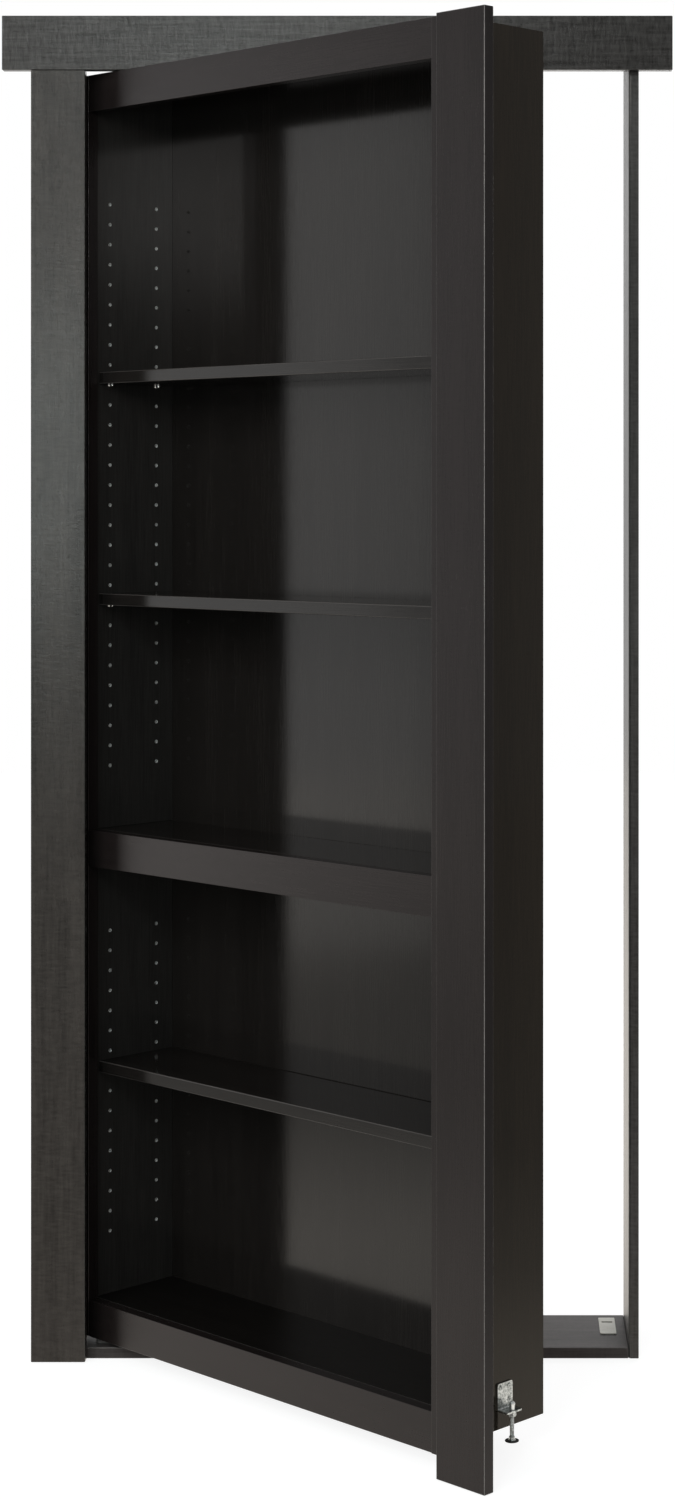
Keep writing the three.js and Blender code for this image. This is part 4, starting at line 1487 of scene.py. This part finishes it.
@dataclass
class LevellingFoot:
    """The bracket, nut, threaded stud with its dome and the swivel foot. Sizes are in millimetres.

    The disc and the cone are given by (radius, height) corners. The screws' rows are heights over the
    bracket's tab, and their heads stand off the bracket.
    """

    shop: Workshop
    stud_radius: float = 3.175
    pitch: float = 1.27
    depth: float = 0.45
    ball_radius: float = 4.6
    neck_radius: float = 4.0
    neck_ease: float = 0.3
    disc: tuple[tuple[float, float], ...] = (
        (0.0, 0.3), (8.2, 0.3), (8.6, 0.0), (9.5, 0.0), (10.0, 0.5), (10.0, 1.3), (9.4, 1.7), (0.0, 1.7))
    disc_ease: float = 0.25
    cone: tuple[tuple[float, float], ...] = ((0.0, 1.5), (5.4, 1.5), (5.2, 2.4), (4.5, 3.6))
    cone_top: float = 4.0
    cone_ease: float = 0.4
    plate: float = 2.4
    screw_stand: float = 0.6
    screw_head: float = 3.6
    screw_shank: float = 1.8
    screw_length: float = 14.0
    screw_sink: float = 0.8
    screw_spread: float = 17.0
    screw_rows: tuple[float, float] = (10.5, 29.5)

    def build(self) -> None:
        """Makes and dresses the levelling foot."""
        self.shop.dress("levelling_bracket", ZINC)
        self.shop.dress("bracket_nut", ZINC)
        self.stud()
        self.dome()
        self.foot()
        self.boss()
        self.screws()

    def on_axis(self, surface: Surface, height: float = 0.0) -> Surface:
        """Stands a turned surface on the stud's axis.

        Args:
            surface: The surface about the z axis, in metres.
            height: Height of its foot.

        Returns:
            The surface in the row frame.
        """
        low, high = DOOR.spans("levelling_stud")
        place = np.array([[(low[0] + high[0]) / 2, (low[1] + high[1]) / 2, height]])
        return surface.repeated(place).placed(DOOR)

    def stud(self) -> None:
        """Cuts the stud's thread."""
        low, high = DOOR.spans("levelling_stud")
        rod = threaded_rod(self.stud_radius * MM, low[2], high[2], self.pitch * MM, self.depth * MM)
        self.shop.make("threaded_stud", self.on_axis(rod), ZINC, "stud", ["levelling_stud"])

    def dome(self) -> None:
        """Turns the domed cap: a short neck under most of a ball."""
        low, high = DOOR.spans("domed_nut")
        top = high[2] - low[2]
        radius, neck, ease = self.ball_radius * MM, self.neck_radius * MM, self.neck_ease * MM
        turn = np.linspace(-math.acos(neck / radius), math.pi / 2, 18)[:-1]
        ball = np.stack([radius * np.cos(turn), top - radius + radius * np.sin(turn)], 1)
        profile = np.concatenate([[(0.0, 0.0), (neck - ease, 0.0), (neck, ease)], ball, [(0.0, top)]])
        self.shop.make("domed_cap", self.on_axis(turned(profile, False), low[2]), BRIGHT, "stud",
                       ["domed_nut"])

    def foot(self) -> None:
        """Turns the foot's black disc, thick at its rim and cupped under the boss."""
        low, _ = DOOR.spans("levelling_foot")
        edge = filleted(np.array(self.disc) * MM, self.disc_ease * MM, False)
        disc = turned(edge, False, sides=64)
        self.shop.make("swivel_foot", self.on_axis(disc, low[2]), FOOT, "foot", ["levelling_foot"])

    def boss(self) -> None:
        """Turns the bright cone that joins the stud to the disc."""
        low, high = DOOR.spans("levelling_foot")
        top = (high[2] - low[2]) / MM
        profile = np.array([*self.cone, (self.cone_top, top), (0.0, top)]) * MM
        cone = turned(filleted(profile, self.cone_ease * MM, False), False, sides=48)
        self.shop.make("foot_boss", self.on_axis(cone, low[2]), ZINC, "foot")

    def screws(self) -> None:
        """Drives the four screws that hold the bracket to the panel."""
        low, high = DOOR.spans("levelling_bracket")
        middle, tab = (low[1] + high[1]) / 2, low[2] + self.plate * MM
        face = low[0] + (self.plate + self.screw_stand) * MM
        places = np.array([[face, middle + side * self.screw_spread * MM / 2, tab + rise * MM]
                           for side in (-1, 1) for rise in self.screw_rows])
        screw = CrossScrew(self.screw_head * MM, self.screw_shank * MM, self.screw_length * MM,
                           self.screw_sink * MM, sides=24).surface().turned_by(aimed((1.0, 0.0, 0.0)))
        self.shop.make("bracket_screws", screw.repeated(places).placed(DOOR), ZINC, "case")


@dataclass(frozen=True)
class Lamp:
    """A soft lamp.

    Args:
        name: Its name.
        place: Where it hangs.
        target: What it faces.
        width: Its width in metres.
        height: Its height in metres.
        power: Its power in watts.
        color: Its light's colour.
        cone: Its full angle in degrees, or zero for a bare panel.
        blend: Softness of the cone's edge.
    """

    name: str
    place: tuple[float, float, float]
    target: tuple[float, float, float]
    width: float
    height: float
    power: float
    color: tuple[float, float, float] = (1.0, 1.0, 1.0)
    cone: float = 0.0
    blend: float = 0.8

    def panel(self) -> bpy.types.Light:
        """Makes the light of a bare panel.

        Returns:
            A rectangular light.
        """
        data = bpy.data.lights.new(self.name, "AREA")
        data.shape, data.size, data.size_y = "RECTANGLE", self.width, self.height
        return data

    def snooted(self) -> bpy.types.Light:
        """Makes the light of a lamp held to a cone.

        Returns:
            A round light with a soft-edged cone.
        """
        data = bpy.data.lights.new(self.name, "SPOT")
        data.shadow_soft_size = self.width / 2
        data.spot_size, data.spot_blend = math.radians(self.cone), self.blend
        return data

    def hang(self) -> None:
        """Puts the lamp in the scene, level and turned to what it faces."""
        data = self.snooted() if self.cone else self.panel()
        data.energy, data.color = self.power, self.color
        lamp = bpy.data.objects.new(self.name, data)
        back = np.array(self.place) - np.array(self.target)
        across = math.hypot(back[0], back[1])
        lamp.location = self.place
        lamp.rotation_euler = (math.atan2(across, back[2]), 0.0, math.atan2(back[1], back[0]) + math.pi / 2)
        bpy.context.scene.collection.objects.link(lamp)


LAMPS = (
    Lamp("key", (-3.2, -4.2, 3.6), (0.0, -0.2, 1.2), 2.6, 2.6, 90.0),
    Lamp("window", (-3.6, 0.9, 1.2), (0.1, -0.3, 1.1), 3.0, 3.0, 18.0),
    Lamp("pool", (-1.3, -4.3, 1.5), (-0.45, 0.0, 1.5), 0.9, 0.7, 24.0, (0.83, 0.99, 1.0)),
    Lamp("crown", (-0.56, -4.2, 3.25), (-0.3, 0.0, 2.0), 0.6, 0.9, 25.0, (0.83, 0.99, 1.0)),
    Lamp("corner", (0.17, -4.4, 2.35), (-0.36, -0.1, 1.75), 0.7, 0.7, 125.0, cone=15.0),
    Lamp("fill", (3.4, -3.6, 2.2), (0.1, -0.2, 1.0), 2.4, 2.4, 12.0),
    Lamp("rear", (1.4, 3.6, 2.6), (0.3, 0.0, 1.0), 2.4, 2.4, 40.0),
)


@dataclass
class Studio:
    """Camera, lamps, world and floor.

    Mirrors see the room dimmer to the right and to the front. The spans of world and floor say where
    such dimming starts and where it is full, by the direction's or the place's x and y. The floor's
    glow in mirrors falls from near to band over the near span of distances from the middle, and gains
    the left rise over the left span of x.
    """

    location: tuple[float, float, float] = (0.2453, -4.3553, 1.3533)
    lens: float = 65.18
    sensor: float = 36.0
    shift: tuple[float, float] = (-0.1043, -0.1682)
    reach: float = 100.0
    world_level: float = 0.5
    right_dimming: float = 0.55
    front_dimming: float = 0.45
    world_right: tuple[float, float] = (-0.15, 0.15)
    world_front: tuple[float, float] = (0.15, -0.15)
    floor_right: tuple[float, float] = (0.1, 1.2)
    floor_front: tuple[float, float] = (0.6, -0.8)
    floor_half: float = 9.0
    floor_drop: float = 0.0005
    floor_grey: float = 0.3
    floor_glow: float = 0.86
    near_glow: float = 1.65
    band_glow: float = 0.55
    left_rise: float = 0.65
    near_span: tuple[float, float] = (0.8, 2.1)
    left_span: tuple[float, float] = (-3.2, -5.4)
    floor_warmth: tuple[float, float, float] = (1.0, 0.94, 0.86)

    def build(self) -> None:
        """Sets up the whole studio."""
        self.camera()
        self.world()
        self.floor()
        for lamp in LAMPS:
            lamp.hang()

    def camera(self) -> None:
        """Stands the camera level and square to the wall, with its lens shifted."""
        data = bpy.data.cameras.new("camera")
        data.sensor_fit = "VERTICAL"
        data.sensor_height = self.sensor
        data.lens = self.lens
        data.shift_x, data.shift_y = self.shift
        data.clip_end = self.reach
        camera = bpy.data.objects.new("camera", data)
        camera.location = self.location
        camera.rotation_euler = (math.pi / 2, 0.0, 0.0)
        bpy.context.scene.collection.objects.link(camera)
        bpy.context.scene.camera = camera
        bpy.context.scene.view_settings.view_transform = "Standard"

    def white_seen(self, sheet: Sheet) -> bpy.types.NodeSocket:
        """Tells the rays that see the white backdrop from the rest.

        Args:
            sheet: The tree of the world or the floor.

        Returns:
            One for camera, mirror and transmission rays, and zero for the rest.
        """
        path = sheet.node("ShaderNodeLightPath")
        seen = sheet.math("MAXIMUM", path.outputs["Is Camera Ray"], path.outputs["Is Glossy Ray"])
        return sheet.math("MAXIMUM", seen, path.outputs["Is Transmission Ray"])

    def world(self) -> None:
        """Fills the room with even light behind a white backdrop."""
        world = bpy.data.worlds.new("studio")
        world.use_nodes = True
        bpy.context.scene.world = world
        sheet = Sheet(world.node_tree)
        light = sheet.node("ShaderNodeBackground", None, Color=WHITE, Strength=self.world_level)
        direction = sheet.node("ShaderNodeTexCoord").outputs["Generated"]
        room = self.room(sheet, direction, self.world_right, self.world_front)
        white = sheet.node("ShaderNodeBackground", None, Color=WHITE, Strength=room)
        both = sheet.node("ShaderNodeMixShader", None, Fac=self.white_seen(sheet), in_1=light.outputs[0],
                          in_2=white.outputs[0])
        sheet.node("ShaderNodeOutputWorld", None, Surface=both.outputs[0])

    def room(self, sheet: Sheet, place: bpy.types.NodeSocket, right: tuple[float, float],
             front: tuple[float, float]) -> bpy.types.NodeSocket:
        """The white that is seen: full for the camera, and dimmer in mirrors to the right and front.

        Args:
            sheet: The tree of the world or the floor.
            place: A direction in the world, or a place on the floor.
            right: The x where dimming towards the right starts and where it is full.
            front: The y where dimming towards the front starts and where it is full.

        Returns:
            The product of one less each dimming.
        """
        parts = sheet.node("ShaderNodeSeparateXYZ", None, Vector=place).outputs
        mirrored = sheet.node("ShaderNodeLightPath").outputs["Is Glossy Ray"]
        left = []
        for axis, span, most in (("X", right, self.right_dimming), ("Y", front, self.front_dimming)):
            dimming = sheet.math("MULTIPLY", sheet.fit(parts[axis], *span, 0.0, most), mirrored)
            left.append(sheet.math("SUBTRACT", 1.0, dimming))
        return sheet.math("MULTIPLY", *left)

    def banded(self, sheet: Sheet, place: bpy.types.NodeSocket) -> bpy.types.NodeSocket:
        """How bright the floor is in mirrors: bright by the object, dim further off, full again far left.

        Args:
            sheet: The floor's tree.
            place: The place on the floor.

        Returns:
            The near level falling to the band's, plus the rise on the left.
        """
        across = sheet.node("ShaderNodeSeparateXYZ", None, Vector=place).outputs["X"]
        aside = sheet.math("ABSOLUTE", across)
        level = sheet.fit(aside, *self.near_span, self.near_glow, self.band_glow)
        return sheet.math("ADD", level, sheet.fit(across, *self.left_span, 0.0, self.left_rise))

    def floor_material(self) -> bpy.types.Material:
        """Mixes the floor's finish: a matt grey that takes shadows, plus a glow.

        Returns:
            The material.
        """
        material, sheet = new_sheet("Pale floor")
        grey = (self.floor_grey, self.floor_grey, self.floor_grey, 1.0)
        matt = sheet.node("ShaderNodeBsdfDiffuse", None, Color=grey)
        place = sheet.node("ShaderNodeTexCoord").outputs["Object"]
        room = self.room(sheet, place, self.floor_right, self.floor_front)
        seen = sheet.math("MULTIPLY", self.white_seen(sheet), room)
        mirrored = sheet.node("ShaderNodeLightPath").outputs["Is Glossy Ray"]
        glow = sheet.fit(mirrored, 0.0, 1.0, self.floor_glow, self.banded(sheet, place))
        color = sheet.mix(mirrored, WHITE, (*self.floor_warmth, 1.0))
        lit = sheet.node("ShaderNodeEmission", None, Color=color, Strength=sheet.math("MULTIPLY", seen, glow))
        both = sheet.node("ShaderNodeAddShader", None, in_0=matt.outputs[0], in_1=lit.outputs[0])
        sheet.node("ShaderNodeOutputMaterial", None, Surface=both.outputs[0])
        return material

    def floor(self) -> None:
        """Lays a pale floor that keeps the object's shadow."""
        side = np.linspace(-self.floor_half, self.floor_half, 10)
        x, y = np.meshgrid(side, side)
        points = np.stack([x, y, np.full_like(x, -self.floor_drop)], -1).reshape(-1, 3)
        mesh = bpy.data.meshes.new("floor")
        mesh.from_pydata(points.tolist(), [], grid_faces(len(side), len(side), False, False))
        mesh.materials.append(self.floor_material())
        floor = bpy.data.objects.new("floor", mesh)
        bpy.context.scene.collection.objects.link(floor)


def main() -> None:
    """Builds every sub-assembly and the studio."""
    logging.basicConfig(level=logging.INFO, format="%(name)s %(message)s")
    shop = Workshop()
    Studio().build()
    for assembly in (WallFrame(shop), Case(shop), FaceFrame(shop), PivotSets(shop), LevellingFoot(shop)):
        assembly.build()
        LOG.info("%s done", type(assembly).__name__)


if __name__ == "__main__":
    main()
